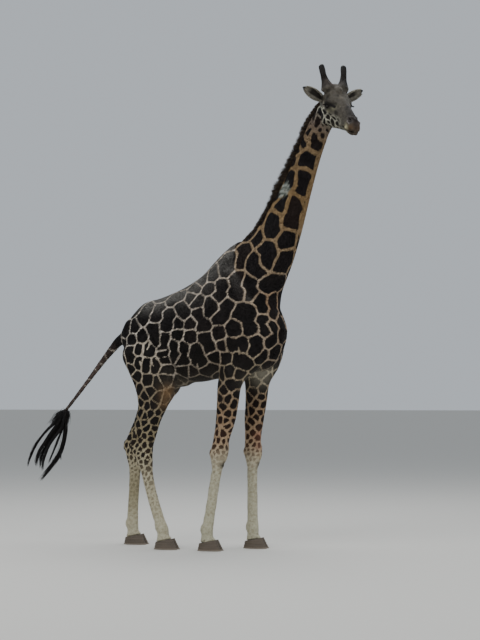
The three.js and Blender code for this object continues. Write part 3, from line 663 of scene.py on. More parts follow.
FLANK_PATCHES = [
    (226, 306, 219, 317), (190, 323), (198, 314, 204, 325), (189, 337), (205, 337, 210, 348), (178, 336),
    (170, 315, 167, 325), (179, 323), (183, 348, 181, 360), (196, 351, 200, 363), (215, 356),
    (206, 371, 213, 369), (192, 372), (200, 378), (185, 371), (174, 345, 175, 357),
]
RUMP_PATCHES = [
    (135, 327), (154, 328, 156, 340), (141, 337), (132, 340), (126, 330), (164, 340, 163, 350, 165, 360),
    (166, 370), (149, 350), (139, 349), (130, 351, 131, 359), (138, 363), (146, 366), (155, 366),
    (136, 377), (148, 381), (157, 383), (165, 379), (139, 389), (144, 396), (151, 392), (158, 398),
    (141, 403), (131, 370), (133, 384),
]
SPURS = [      # short pale lines, from the net into a patch
    ((156, 351), (166, 350)), ((157, 359), (166, 357)), ((143, 345), (142, 354)), ((151, 361), (153, 366)),
    ((240, 354), (239, 348)), ((198, 368), (198, 363)), ((150, 344), (147, 349)), ((140, 362), (141, 368)),
]
WAVES = [      # a long wave's radians a metre along X, Y and Z and its start, then a short wave's
    ((19, 31, 23), 1, (-41, 23, 57)), ((29, -17, 27), 2, (37, 61, -21)), ((-21, 25, 33), 4, (59, -31, 39)),
]
SHORT_WAVE = 0.6       # the short wave's height, against the long one's


def wobbled(points, reach):
    """Points moved by that much, back and forth, in waves of a few hand widths."""
    waves = [np.sin(points @ long + start) + SHORT_WAVE * np.sin(points @ short)
             for long, start, short in WAVES]
    return points + reach * np.stack(waves, axis=1) / (1 + SHORT_WAVE)


part, along = place_on_parts(skin)
lie = normals_of(skin, skin_faces)
height = skin[:, 2]
pixels = in_view(skin)
to_eye = eye_place - skin
eye_distance = np.linalg.norm(to_eye, axis=1)
facing = (lie * to_eye).sum(axis=1) / eye_distance
PIXEL_REACH = 2.5      # how far from a pixel the skin's points are looked for
FRONT_DEPTH = 0.15     # how much farther than the nearest of them a point may lie, in metres
SEEN = 0.05            # how far, as a cosine, a point must be turned to the eye to be taken as seen
UNSEEN_PIXELS = 100    # how much farther a point turned away counts, when none is seen


def on_skin(pixel):
    """The skin's point that shows at a pixel: of those within reach of it that face the eye, the nearest."""
    near = np.flatnonzero((np.abs(pixels - pixel).max(axis=1) < PIXEL_REACH) & (facing > SEEN))
    if not len(near):
        near = np.argsort(np.linalg.norm(pixels - pixel, axis=1) + UNSEEN_PIXELS * (facing < 0))[:1]
    front = near[eye_distance[near] < eye_distance[near].min() + FRONT_DEPTH]
    return skin[front[np.argmin(np.linalg.norm(pixels[front] - pixel, axis=1))]]


def each_centre(patches):
    """The skin's point at each centre of the patches, and the number of the patch that each belongs to."""
    pairs = [(on_skin(pixel), number)
             for number, patch in enumerate(patches) for pixel in zip(patch[::2], patch[1::2])]
    return np.array([place for place, _ in pairs]), np.array([number for _, number in pairs])


def by_part(part, along, height, trunk, neck, head, ear, tail, foreleg, hindleg):
    """A size over the skin. The trunk's, head's and ears' are one number each. The others are (place, size)
    pairs, by the height of the point on legs and by the share of the length on neck and tail."""
    size = np.full(len(part), float(trunk))
    size[on_part(part, "head")] = head
    size[on_part(part, "ear")] = ear
    for name, place, pairs in (("neck", along, neck), ("tail", along, tail), ("fore", height, foreleg),
                               ("hind", height, hindleg)):
        here = on_part(part, name)
        size[here] = np.interp(place[here], *zip(*pairs))
    return size


apart = by_part(part, along, height, trunk=0.205, neck=[(0.2, 0.20), (0.7, 0.20), (0.85, 0.15), (1, 0.10)],
                head=0.040, ear=0.05, tail=[(0, 0.11), (0.3, 0.10), (1, 0.14)],
                foreleg=[(0.9, 0.045), (1.05, 0.050), (1.3, 0.074), (1.6, 0.088), (1.9, 0.120), (2.2, 0.20)],
                hindleg=[(0.3, 0.032), (0.9, 0.047), (1.2, 0.070), (1.6, 0.095), (1.9, 0.13), (2.3, 0.17)])
# where the given centres hold: the near side of trunk and neck and of the upper legs, and the near cheek
in_head = to_head(skin)
high_enough = (height > 2.0) | ((height > 1.72) & (skin[:, 0] < 0))
given_zone = (facing > 0.12) & high_enough & ~on_part(part, "head", "ear", "tail") & (skin[:, 1] < 0.05)
given_zone |= on_part(part, "head") & (in_head[:, 1] < -0.02) & (in_head[:, 2] < 0.0) & (in_head[:, 0] < 0.24)
TRIES = 26000          # how many of the skin's points are tried as centres of the other patches
CROWDING = 0.82        # how close two of them may come, as a share of the usual distance
chance = np.random.default_rng(7)
given, given_numbers = each_centre(NECK_PATCHES + CHEEK_PATCHES + SHOULDER_PATCHES + BACK_PATCHES
                                   + FLANK_PATCHES + RUMP_PATCHES)
count = len(given)
centres = np.vstack([given, np.empty((TRIES, 3))])
for index in chance.permutation(len(skin))[:TRIES]:
    nearest = np.sqrt(((centres[:count] - skin[index]) ** 2).sum(axis=1).min())
    if not given_zone[index] and nearest > apart[index] * CROWDING:
        centres[count] = skin[index]
        count += 1
centres = centres[:count]
patch_of = np.concatenate([given_numbers, given_numbers.max() + 1 + np.arange(count - len(given))])
patch_shade = chance.random(patch_of.max() + 1)

LINE_GROWTH = 0.0030       # how much more half a line is at the shoulder than at the rump
half_line = by_part(part, along, height, trunk=0.0068,
                    neck=[(0.1, 0.009), (0.3, 0.014), (0.45, 0.021), (0.76, 0.019), (0.86, 0.009),
                          (1, 0.005)],
                    head=0.0048, ear=0.006, tail=[(0, 0.007), (1, 0.007)],
                    foreleg=[(0.95, 0.0080), (1.15, 0.0088), (1.4, 0.0105), (1.75, 0.0088), (2.0, 0.0070)],
                    hindleg=[(0.4, 0.0065), (0.9, 0.0062), (1.2, 0.0060), (1.6, 0.0060), (2.0, 0.0062)])
half_line = half_line + LINE_GROWTH * between(skin[:, 0], -0.1, 0.6) * on_part(part, "trunk")
LINE_WOBBLE = 0.0045
USUAL_HALF = 0.009         # the half line at which the wobble is as given
CORNER = 0.45              # how round a patch's corners are, against half the line
NEAREST = 8                # how many centres are looked at for each point
BLOCK = 8000               # how many points are worked out at a time


def rims(points, half_line):
    """How far inside a patch each point lies, less half the pale line, and the number of its patch. The
    distance to the line between two centres is the difference of the squared distances over twice the gap
    between them. A soft least of the nearest ones rounds the patch's corners off, and there is no line
    between centres of one patch."""
    rim = np.empty(len(points))
    number = np.empty(len(points), int)
    reach = LINE_WOBBLE * np.clip(half_line / USUAL_HALF, 0.5, 1.5)[:, None]
    moved = wobbled(points, reach).astype(np.float32)
    spots = centres.astype(np.float32)
    for first in range(0, len(points), BLOCK):
        block = slice(first, first + BLOCK)
        square = (moved[block] ** 2).sum(axis=1)[:, None] + (spots ** 2).sum(axis=1)
        square = square - 2 * moved[block] @ spots.T
        order = np.argpartition(square, NEAREST, axis=1)[:, :NEAREST]
        close = np.take_along_axis(square, order, axis=1)
        sort = np.argsort(close, axis=1)
        order, close = np.take_along_axis(order, sort, axis=1), np.take_along_axis(close, sort, axis=1)
        gap = np.linalg.norm(spots[order[:, 1:]] - spots[order[:, :1]], axis=2)
        to_line = (close[:, 1:] - close[:, :1]) / (2 * gap)
        to_line[patch_of[order[:, 1:]] == patch_of[order[:, :1]]] = FAR_OFF
        soft = half_line[block] * CORNER
        rim[block] = -soft * np.log(np.exp(-to_line / soft[:, None]).sum(axis=1) + 1e-30)
        number[block] = patch_of[order[:, 0]]
    return np.minimum(rim, 0.1) - half_line, number


THROAT_FACING = np.array([0.92, 0, -0.39])
THROAT = 0.82          # how far forward the hide of the neck must face to be part of the plain front band
THROAT_WAVE = 0.05     # how much its edge winds, and the turns of that along X, Y and Z, in radians a metre
THROAT_TURNS = (9, 14, 17)
THROAT_EDGE = 0.12     # how many metres a whole turn of the hide counts for, at the band's edge
SPUR_HALF = 0.0115     # at its start; half of that at its end
SKIN_HALF_LINE = 0.0085
spur_ends = [(on_skin(start), on_skin(end)) for start, end in SPURS]


def marked(points, lie, along, on_neck, half_line):
    """The rim and patch number of each point, with the neck's plain front band and the spurs cut out."""
    rim, number = rims(points, half_line)
    forward = (lie @ THROAT_FACING + THROAT_WAVE * np.sin(points @ THROAT_TURNS)) * on_neck
    limit = THROAT + 0.3 * (1 - between(along, 0.3, 0.45)) + 0.3 * between(along, 0.76, 0.84)
    rim = np.where((along > 0.25) & (forward > 0), np.minimum(rim, (limit - forward) * THROAT_EDGE), rim)
    for start, end in spur_ends:
        line = end - start
        f = np.clip((points - start) @ line / (line @ line), 0, 1)
        away = np.linalg.norm(points - start - f[:, None] * line, axis=1)
        rim = np.minimum(rim, away - SPUR_HALF * (1 - 0.5 * f))
    return rim, number


# The skin's own lines are a little wider, so that its larger faces don't break them.
rim, patch_number = marked(skin, lie, along, on_part(part, "neck"), np.maximum(half_line, SKIN_HALF_LINE))


def colour(code):
    """A colour written as rrggbb, as the linear red, green and blue that shaders use."""
    parts = np.array([int(code[k:k + 2], 16) for k in (0, 2, 4)]) / 255
    return np.where(parts <= 0.04045, parts / 12.92, ((parts + 0.055) / 1.055) ** 2.4)


def ramp(place, stops):
    """Colours between stops of (place, code), for each place."""
    places = [stop for stop, _ in stops]
    codes = np.array([colour(code) for _, code in stops])
    return np.stack([np.interp(place, places, codes[:, k]) for k in range(3)], axis=1)


def ground_and_patch(points, part, along, shade):
    """The colours of the pale lines and of the patches at each point, and how fully the patches show."""
    height = points[:, 2]
    pale = ramp(points[:, 0] - 0.4 * (height - 2.4), [(-0.9, "e4dacc"), (-0.2, "d2c5b5"), (0.5, "b19f89")])
    pale *= (0.72 + 0.28 * between(height, 1.85, 2.35))[:, None]
    dark = ramp(shade, [(0, "100d0d"), (0.6, "151111"), (1, "1e1716")])
    # painted sheen: where the patches of the upper back face up they turn light grey, a reflection of the sky
    # painted into their colour
    dark += (colour("6a6762") - dark) * (between(lie[:, 2], 0.22, 0.72) * between(height, 2.5, 2.7))[:, None]
    show = np.ones(len(points))
    neck = on_part(part, "neck")
    pale[neck] = ramp(along[neck], [(0.1, "ab9880"), (0.3, "9d8668"), (0.5, "937852"), (0.72, "8b7558"),
                                    (0.82, "7d6e62"), (0.88, "81766a"), (1, "a09a8b")])
    dark[neck] = ramp(shade[neck], [(0, "0f0c10"), (0.6, "171111"), (1, "231712")])
    fore = on_part(part, "fore")
    # the cream low on the forelegs is tinted yellow-green: partly its own colour, partly painted bounce light
    # from grass
    pale[fore] = ramp(height[fore], [(0.2, "b9b59c"), (0.85, "bcb79f"), (0.98, "c2b8a0"), (1.15, "b0977a"),
                                      (1.5, "a2876a"), (2.0, "a2947c"), (2.4, "b19f89")])
    dark[fore] = ramp(height[fore] + 0.2 * shade[fore], [(0.8, "8a7c62"), (1.05, "5e4632"), (1.3, "38241a"),
                                                       (1.55, "221510"), (1.85, "151010"), (2.1, "141010")])
    show[fore] = np.interp(height[fore], [0.25, 0.6, 0.98, 1.12], [0, 0.25, 0.4, 1])
    hind = on_part(part, "hind")
    # the cream low on the hind legs is tinted yellow-green: partly its own colour, partly painted bounce
    # light from grass
    pale[hind] = ramp(height[hind], [(0.2, "beb89e"), (0.9, "b7ae94"), (1.2, "9a8d70"), (1.7, "95876f"),
                                     (2.2, "c8bba9")])
    dark[hind] = ramp(height[hind] + 0.2 * shade[hind], [(0.5, "7b6e54"), (0.9, "483a2b"), (1.15, "231b15"),
                                                       (1.5, "141010"), (2.0, "120f0f")])
    show[hind] = np.interp(height[hind], [0.15, 0.35, 0.7, 1.0], [0, 0.3, 0.6, 1])
    tail = on_part(part, "tail")
    pale[tail] = ramp(along[tail], [(0, "c0b3a2"), (0.3, "aea498"), (0.8, "928a80"), (1, "2b2623")])
    dark[tail] = ramp(along[tail], [(0, "141010"), (0.3, "332a27"), (0.5, "5a4c46"), (0.8, "4a3f3a"),
                                    (1, "1d1918")])
    head = on_part(part, "head", "ear")
    pale[head] = colour("565148")
    dark[head] = ramp(shade[head], [(0, "2f2a25"), (1, "3f3932")])
    return pale, dark, show


# Stains, bare places and painted shade: place, reach, colour, strength, and how far it covers the patches
# too.
WASHES = [
    (on_skin((168, 393)), 0.085, "92704c", 0.9, 0.72),                     # worn stifle
    (on_skin((165, 404)), 0.070, "8a6d4e", 0.85, 0.62),
    (on_leg("hindleg_left", 1.66, 0.8, 0.3), 0.100, "8e6238", 0.8, 0.6),
    (on_leg("hindleg_left", 0.62, 0, 0), 0.260, "8a8163", 0.7, 0.7),
    (on_leg("foreleg_right", 1.03, 0.6, 0), 0.075, "b8ae93", 0.7, 0.6),    # knees
    (on_leg("foreleg_left", 1.03, 0.6, 0), 0.070, "a8906f", 0.5, 0.4),
    (on_leg("foreleg_left", 1.24, 0.6, -0.3), 0.055, "a86c58", 0.7, 0.3),
    (on_leg("foreleg_left", 1.12, 0.7, -0.4), 0.040, "ab7765", 0.6, 0.5),
    (on_leg("foreleg_right", 0.925, 0.9, 0.3), 0.036, "1a1514", 1.0, 1),   # callus under the knee
    (on_leg("foreleg_left", 0.925, 0.9, 0.1), 0.034, "2a2320", 0.9, 1),
    (on_leg("foreleg_left", 1.93, 0.3, -0.9), 0.130, "cfc8b2", 0.9, 0.50),      # thin-haired armpits
    (on_leg("foreleg_right", 1.93, 0.3, -0.9), 0.130, "cfc8b2", 0.9, 0.50),
    ((0.90, -0.03, 2.40), 0.130, "ad8a68", 0.6, 0), ((0.84, -0.14, 2.70), 0.150, "a87f58", 0.7, 0),   # chest
    ((0.10, 0, 1.84), 0.300, "7d7464", 0.7, 0.2), ((-0.35, 0, 1.82), 0.200, "8c8474", 0.9, 0.8),      # belly
    ((-0.59, 0, 1.80), 0.130, "7d7467", 0.8, 0.7),
]
HEAD_WASHES = [        # the same in the head's frame, and those of its right side that are on the left too
    ((0.36, 0.0, 0.00), 0.095, "1b1818", 0.95, 1), ((0.24, 0.0, 0.05), 0.075, "211d1c", 0.9, 1),      # nose
    ((0.44, 0.0, -0.06), 0.055, "1f1a1b", 0.95, 1), ((0.13, -0.085, 0.030), 0.022, "858170", 0.7, 1),
    ((0.12, 0.0, 0.09), 0.090, "454037", 0.6, 1),
    ((-0.10, -0.135, 0.02), 0.050, "5d594f", 0.6, 1, "both"), ((-0.10, 0.0, 0.19), 0.090, "4f4a43", 0.7, 1),
    # painted shade: the first wash on the next line darkens the base of the far, left horn, which lies in
    # shade
    ((-0.16, 0.100, 0.21), 0.085, "181514", 0.95, 1), ((-0.16, -0.080, 0.19), 0.060, "3b342f", 0.8, 1),
    ((-0.13, -0.030, 0.165), 0.020, "733f3a", 0.9, 1), ((-0.10, -0.050, 0.140), 0.014, "6e413b", 0.8, 1),
    ((-0.14, -0.050, 0.21), 0.016, "6a3c36", 0.8, 1), ((-0.115, -0.025, 0.135), 0.012, "5e3632", 0.8, 1),
    ((0.045, -0.128, -0.050), 0.036, "5f5c49", 0.8, 1, "both"),            # under the eye
    ((0.10, -0.110, -0.010), 0.030, "86826a", 0.7, 1, "both"),
    ((0.060, -0.128, 0.014), 0.026, "0c0a09", 1.0, 1, "both"),             # tear line
    ((0.010, -0.142, 0.002), 0.054, "0e0b0a", 1.0, 1, "both"),             # lids
    ((0.435, 0.0, -0.150), 0.050, "4d3520", 0.95, 1),
    ((0.440, -0.045, -0.148), 0.032, "5a3f25", 0.9, 1, "both"),
    ((0.47, 0.0, -0.10), 0.035, "2d2523", 0.8, 1),                         # lips
    ((0.380, -0.073, -0.157), 0.037, "aea786", 0.95, 1, "both"),           # corner of the mouth
    ((0.43, 0.0, -0.215), 0.040, "3d2f24", 0.8, 1), ((0.27, 0.0, -0.22), 0.060, "8f9180", 0.85, 1),   # chin
    ((0.05, 0.0, -0.25), 0.100, "8a8674", 0.6, 0.3), ((-0.15, 0.0, -0.24), 0.090, "8a8470", 0.5, 0),
]
for place, reach, code, strength, over, *both in HEAD_WASHES:
    for side in (1, -1) if both else (1,):
        WASHES.append((from_head(np.multiply(place, [1, side, 1])), reach, code, strength, over))


def washed(points, pale, dark):
    """The two colours with each stain, bare place or painted shade laid over them, by its strength times
    exp(-(distance/reach)^2).
    """
    for place, reach, code, strength, over in WASHES:
        cover = strength * np.exp(-((points - place) ** 2).sum(axis=1) / reach ** 2)[:, None]
        pale += (colour(code) - pale) * cover
        dark += (colour(code) - dark) * cover * over
    return pale, dark


pale, dark, show = ground_and_patch(skin, part, along, patch_shade[patch_number])
head = on_part(part, "head")
cheek = between(in_head[:, 0], 0.27, 0.18) * between(in_head[:, 2] + 0.18 * in_head[:, 0], -0.035, -0.085)
show[head] = np.maximum(0.25, cheek)[head]
dark[head] += (colour("120e0d") - dark[head]) * cheek[head, None]
pale[head] += (colour("a5a293") - pale[head]) * cheek[head, None]
ears = on_part(part, "ear")
show[ears] = 0.25


def up_the_horn(points):
    """How far up a horn points of the head's frame lie, from 0 to 1, and 0 away from the horns."""
    from_root = np.stack([points[:, 0], np.abs(points[:, 1]), points[:, 2]], axis=1) - HORN_ROOT
    up = np.clip(from_root @ HORN_LINE / (HORN_LINE @ HORN_LINE), 0, 1)
    beside = np.linalg.norm(from_root - up[:, None] * HORN_LINE, axis=1)
    return up * between(beside, 0.110, 0.070)


on_horn = up_the_horn(in_head)
horn_tone = ramp(on_horn, [(0, "4a443d"), (0.25, "3a3430"), (0.4, "282320"), (0.62, "181514")])
pale += (horn_tone - pale) * between(on_horn, 0.03, 0.2)[:, None]
show *= 1 - between(on_horn, 0.05, 0.2)
pale, dark = washed(skin, pale, dark)
TEMPLE = (0.110, 0.125, 0.030)     # behind the eyes, aside and up, where blotches are strongest
TEMPLE_REACH = 0.060
temple = np.exp(-((np.abs(in_head) - TEMPLE) ** 2).sum(axis=1) / TEMPLE_REACH ** 2) * (in_head[:, 0] < 0)
BLOTCHES = 420
blotch = np.zeros(len(skin))
for middle, reach, strength in zip(skin[chance.choice(np.flatnonzero(head), BLOTCHES)],
                                   chance.uniform(0.006, 0.024, BLOTCHES), chance.normal(0, 0.60, BLOTCHES)):
    blotch += strength * np.exp(-((skin - middle) ** 2).sum(axis=1) / reach ** 2)
blotch = np.clip(blotch, -0.55, 0.8) * (1 + 0.8 * temple) * head
pale *= (1 + blotch)[:, None]
dark *= (1 + blotch)[:, None]

FACE_LINES = [       # places (x, z in the head's frame) that a line joins, half width, colour; on both sides
    ([(0.366, -0.062), (0.395, -0.074), (0.425, -0.092)], 0.017, "46403d"),       # the nostril's rims
    ([(0.382, -0.086), (0.404, -0.096), (0.428, -0.106)], 0.005, "857e78"),
    # painted shade: the near-black nostril slit and mouth line stand for the shade inside the nostril and
    # between the lips
    (NOSTRIL, 0.0085, "030202"), (MOUTH, 0.0065, "0a0707"),
    ([(0.055, 0.014), (0.105, 0.000)], 0.011, "100d0c"),        # the tear groove
    ([(-0.060, 0.012), (0.000, 0.002)], 0.012, "0d0a09"),
]
for places, half, code in FACE_LINES:
    away = np.full(len(skin), FAR_OFF)
    for start, end in zip(places[:-1], places[1:]):
        line = np.subtract(end, start)
        beside = in_head[:, [0, 2]] - start
        f = np.clip(beside @ line / (line @ line), 0, 1)
        away = np.minimum(away, np.linalg.norm(beside - f[:, None] * line, axis=1))
    drawn = (between(away, half * 1.4, half * 0.7) * head)[:, None]
    pale += (colour(code) - pale) * drawn
    dark += (colour(code) - dark) * drawn

# an old scar on the near side of the neck: bare mottled skin with a sharp edge
SCAR_LONG = np.array([0.30, 0, 0.95])
SCAR_SHARE = 0.8           # its width over its length
SCAR_HALF = 0.072
SCAR_RAGGED = 0.006
scar_middle = on_skin((284, 189))
from_scar = skin - scar_middle
scar_rise = from_scar @ SCAR_LONG
beside_scar = np.linalg.norm(from_scar - scar_rise[:, None] * SCAR_LONG, axis=1)
scar_away = np.hypot(beside_scar, scar_rise * SCAR_SHARE)
scar_edge = SCAR_HALF + 0.010 * np.sin(skin @ (60, 20, 75)) + SCAR_RAGGED * np.sin(skin @ (-130, 90, 95))
scar = between(scar_away, scar_edge + SCAR_RAGGED, scar_edge - SCAR_RAGGED)[:, None]
mottled = np.clip(0.45 + 0.9 * np.sin(skin @ (130, 50, -90)) * np.sin(skin @ (-50, 70, 150)), 0, 1)[:, None]
scar_tone = colour("c6cac0") * mottled + colour("38443b") * (1 - mottled)
pale += (scar_tone - pale) * scar
dark += (scar_tone - dark) * scar


def ear_tones():
    """On the ears: pale hollow with long hair, painted shade deep in its lower part, dark rim and tip,
    greyish back.
    """
    flip = np.where(in_head[ears, 1:2] < 0, [1, -1, 1], [1, 1, 1])
    offset = in_head[ears] * flip - EAR_ROOT
    t = np.clip(offset @ EAR_LINE / EAR_LENGTH, 0, 1)
    half = smooth_rows(EAR_HALF_WIDTHS, t)[:, 0]
    downward = offset @ EAR_ACROSS / half
    across = np.abs(downward)
    opening = ((lie[ears] @ HEAD_TURN) * flip) @ EAR_OPENING
    hollow = between(opening, 0.0, 0.4) * between(across, 0.95, 0.75)
    # painted shade: the deep lower part of the hollow, where shade falls, is painted near-black
    deep = hollow * between(downward, 0.45, 0.15) * between(t, 0.80, 0.55)
    rim = np.maximum(between(across, 0.80, 0.95), between(t, 0.86, 0.95))
    tone = np.tile(colour("4c4640"), (len(t), 1))
    for code, cover in (("7f7a6e", hollow), ("1a1615", deep * 0.9), ("15110f", rim)):
        tone += (colour(code) - tone) * cover[:, None]
    return tone


pale[ears] = ear_tones()
dark[ears] = pale[ears] * 0.75


# ---- the finish that skin and coat share ----
# Hair and the hide under it have one colouring, kept on the points of both: the two colours, how deep in a
# patch each point lies, and how fully patches show. It is dull, with a soft gleam on the darkest hair.
class Value:
    """A socket of a finish's nodes: arithmetic on it adds Math nodes."""

    def __init__(self, finish, socket):
        self.finish, self.socket = finish, socket

    def maths(self, operation, *others):
        """A Math node's value, of this value and the others given."""
        inputs = dict(enumerate((self, *others)))
        return self.finish.node("ShaderNodeMath", {"operation": operation}, inputs)

    def __add__(self, other):
        return self.maths("ADD", other)

    __radd__ = __add__

    def __mul__(self, other):
        return self.maths("MULTIPLY", other)

    __rmul__ = __mul__

    def __sub__(self, other):
        return self.maths("SUBTRACT", other)

    def __rsub__(self, other):
        return (self * -1) + other

    def step(self, low, high):
        """0 below low, 1 above high, and a smooth rise between."""
        return self.finish.node("ShaderNodeMapRange", {"interpolation_type": "SMOOTHSTEP"},
                                {"Value": self, "From Min": low, "From Max": high})


class Finish:
    """A material built of nodes round one Principled shader."""

    def __init__(self, name, roughness, specular=0.5):
        self.material = bpy.data.materials.new(name)
        self.material.use_nodes = True
        self.tree = self.material.node_tree
        self.shader = self.tree.nodes["Principled BSDF"]
        self.shader.inputs["Roughness"].default_value = roughness
        self.shader.inputs["Specular IOR Level"].default_value = specular
        self.place = self.node("ShaderNodeTexCoord", {}, {}, "Object")

    def feed(self, socket, value):
        """Links a value to a socket, or sets the socket to a number or colour."""
        if isinstance(value, Value):
            self.tree.links.new(value.socket, socket)
        elif isinstance(value, np.ndarray):
            socket.default_value = (*value.tolist(), 1) if socket.type == "RGBA" else value.tolist()
        else:
            socket.default_value = value

    def node(self, kind, settings, inputs, output=0):
        """One node: its settings first, then the values or links of its sockets; gives one output."""
        node = self.tree.nodes.new(kind)
        for name, setting in settings.items():
            setattr(node, name, setting)
        for name, value in inputs.items():
            self.feed(node.inputs[name], value)
        return Value(self, node.outputs[output])

    def mix(self, amount, first, second, blend="MIX"):
        """The first colour where the amount is 0 and the second where it is 1."""
        return self.node("ShaderNodeMix", {"data_type": "RGBA", "blend_type": blend},
                         {0: amount, 6: first, 7: second}, 2)

    def noise(self, scale, detail=3.0, stretch=None):
        """Cloudy noise from 0 to 1 in the object's coordinates, squeezed by stretch."""
        place = self.place
        if stretch:
            place = self.node("ShaderNodeMapping", {}, {"Vector": place, "Scale": stretch})
        return self.node("ShaderNodeTexNoise", {}, {"Vector": place, "Scale": scale, "Detail": detail})

    def painted(self, name, output="Color"):
        """A colour or number stored on the mesh's points."""
        return self.node("ShaderNodeAttribute", {"attribute_name": name}, {}, output)

    def bump(self, height):
        """A normal bent by a height in metres."""
        return self.node("ShaderNodeBump", {}, {"Height": height, "Distance": 1.0, "Strength": 1.0})

    def use(self, **inputs):
        """Feeds the shader's sockets: Base_Color=..., Roughness=..., Normal=..."""
        for name, value in inputs.items():
            self.feed(self.shader.inputs[name.replace("_", " ")], value)
        return self


def paint(piece, **values):
    """Stores a number or a colour for each point of a piece under each name."""
    for name, value in values.items():
        value = np.asarray(value, np.float32)
        kind, key = ("FLOAT", "value") if value.ndim == 1 else ("FLOAT_COLOR", "color")
        store = piece.data.attributes.new(name, kind, "POINT")
        if value.ndim == 2:
            value = np.hstack([value, np.ones((len(value), 1), np.float32)])
        store.data.foreach_set(key, value.ravel())


def hide_finish(name, roughness, sheen_tone, fine, wrinkles):
    """Hair or skin in the animal's markings: the patch colour inside each rim, the ground outside it, both
    uneven, with a ragged edge where hairs of one colour lie over the other, and fine bumps."""
    finish = Finish(name, roughness, 0.14)
    ragged = (finish.noise(90, 4) - 0.5) * 0.012 + (finish.noise(14, 2) - 0.5) * 0.008
    inside = (finish.painted("rim", "Fac") + ragged).step(-0.0022, 0.0030)
    cover = inside * finish.painted("show", "Fac")
    cloud = finish.noise(5, 4)
    streak = finish.noise(260, 3, stretch=(0.35, 0.35, 1.0))
    dark = finish.mix((cloud - 0.35) * 0.35 + (streak - 0.5) * 0.25, finish.painted("dark"),
                      colour(sheen_tone))
    worn = finish.mix((finish.noise(35, 5) - 0.42).step(0.0, 0.30) * 0.45, finish.painted("pale"),
                      colour("a89888"), "MULTIPLY")
    light = finish.mix(1.0, worn, streak * 0.9 + 0.62, "MULTIPLY")
    tone = finish.mix(cover, light, dark)
    tone = finish.mix(0.65, tone, finish.painted("shade"), "MULTIPLY")
    hairs = finish.noise(420, 2, stretch=(0.5, 0.5, 1.0))
    folds = finish.noise(26, 3, stretch=(1, 1, 0.6))
    height = hairs * fine + folds * wrinkles + streak * fine
    return finish.use(Base_Color=tone, Roughness=roughness - 0.10 * cloud + 0.05 * streak,
                      Normal=finish.bump(height))


SHEEN = "40362f"
SHADE = 0.85           # how light skin and coat are against the colours given
hide = hide_finish("hide", 0.66, SHEEN, 0.0016, 0.0030)
skin_piece = new_piece("skin", skin, skin_faces.tolist())
paint(skin_piece, rim=rim, show=show, pale=pale, dark=dark, shade=np.full((len(skin), 3), SHADE))


def fixed(piece, finish, slot, *replaced):
    """Gives a piece its finish and the body that it rides on, and hides the CAD nodes it stands for; slot is
    unused.
    """
    piece.data.materials.append(finish.material)
    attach(piece, "root")
    if replaced:
        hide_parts(*replaced)


fixed(skin_piece, hide, "coat", "trunk", "neck", "head", "tail", "ear_left", "ear_right", *LEGS)


# ---- coat ----
# Short hair lies flat all over the hide, from the nose back and from the spine down. It is made as small
# closed locks, three-sided and pointed at both ends, each set down along the lie of the hair, in the colours
# of the hide beneath its middle. They are smallest on the face and feet.
LOCK_START, LOCK_STOP = 0.14, 0.84     # where a lock's first and last ring lie, as shares of its length
LOCK_RIDGE = 0.4                       # where a sliver is thickest


def locks(root, along, out, length, width, thick, rings, lift=0.0, droop=0.0):
    """Points and triangles of locks, and where each of a lock's points lies across and along it. Its middle
    line starts at its root and runs its length along, rising by lift and bending by droop times the square of
    the way. Rings of three points stand on it, and a point closes each end; a lock with no rings is a slim
    four-sided sliver, with a ridge on top and its edges below."""
    across = unit(np.cross(along, out))
    length, width, thick, lift = (np.broadcast_to(size, len(root))[:, None]
                                  for size in (length, width, thick, lift))

    def middle(way):
        return root + along * length * way + out * lift * length * way + droop * way * way

    if rings:
        ways = np.linspace(LOCK_START, LOCK_STOP, rings)
        fullness = np.sqrt(1 - ways) * np.minimum(1, 0.6 + 2 * ways)
        points = [middle(0)]
        for way, full in zip(ways, fullness):
            centre = middle(way)
            points += [centre - across * width * full / 2, centre + out * thick * full,
                       centre + across * width * full / 2]
        points.append(middle(1))
        triangles = [(0, 1, 2), (0, 2, 3), (0, 3, 1)]
        for ring in range(rings - 1):
            for corner in range(3):
                a, b = 1 + 3 * ring + corner, 1 + 3 * ring + (corner + 1) % 3
                triangles += [(a, a + 3, b), (b, a + 3, b + 3)]
        last = len(points) - 4
        triangles += [(last + a, last + 3, last + (a + 1) % 3) for a in range(3)]
        spread = [(0, -1)] + [(k - 1, 2 * way - 1) for way in ways for k in range(3)] + [(0, 1)]
    else:
        low = middle(LOCK_RIDGE) - out * thick
        points = [middle(0), low - across * width / 2, low + across * width / 2, middle(1)]
        triangles = [(0, 1, 3), (0, 3, 2), (0, 2, 1), (3, 1, 2)]
        spread = [(0, -1), (-1, 0), (1, 0), (0, 1)]
    triangles = np.array(triangles)[None] + (np.arange(len(root)) * len(points))[:, None, None]
    return np.stack(points, axis=1).reshape(-1, 3), triangles.reshape(-1, 3)[:, ::-1], np.array(spread)


BAKE_SPOT = 0.003      # how wide a lock's own patch is on the coat's unwrap


def lock_piece(name, built, spots, finish, slot, values, *replaced):
    """A piece of locks with its unwrap: each lock is a small patch round its root's spot. The values are one
    for each lock, and all of its points share them."""
    points, triangles, spread = built
    piece = new_piece(name, points, triangles.tolist())
    each = len(spread)
    unwrap = (np.asarray(spots)[:, None, :] + spread[None] * BAKE_SPOT / 2).reshape(-1, 2)
    layer = piece.data.uv_layers.new(name="OFBake")
    layer.data.foreach_set("uv", unwrap[triangles.ravel()].astype(np.float32).ravel())
    paint(piece, **{key: np.repeat(value, each, axis=0) for key, value in values.items()})
    fixed(piece, finish, slot, *replaced)


# which way the hair lies along each part's axis, and how much it turns down besides
FLOW = {"trunk": -1, "neck": -1, "head": -1, "ear": 1, "tail": 1, "foreleg": 1, "hindleg": 1}
HAIR_FALL = {"trunk": 0.45, "neck": 0.10}


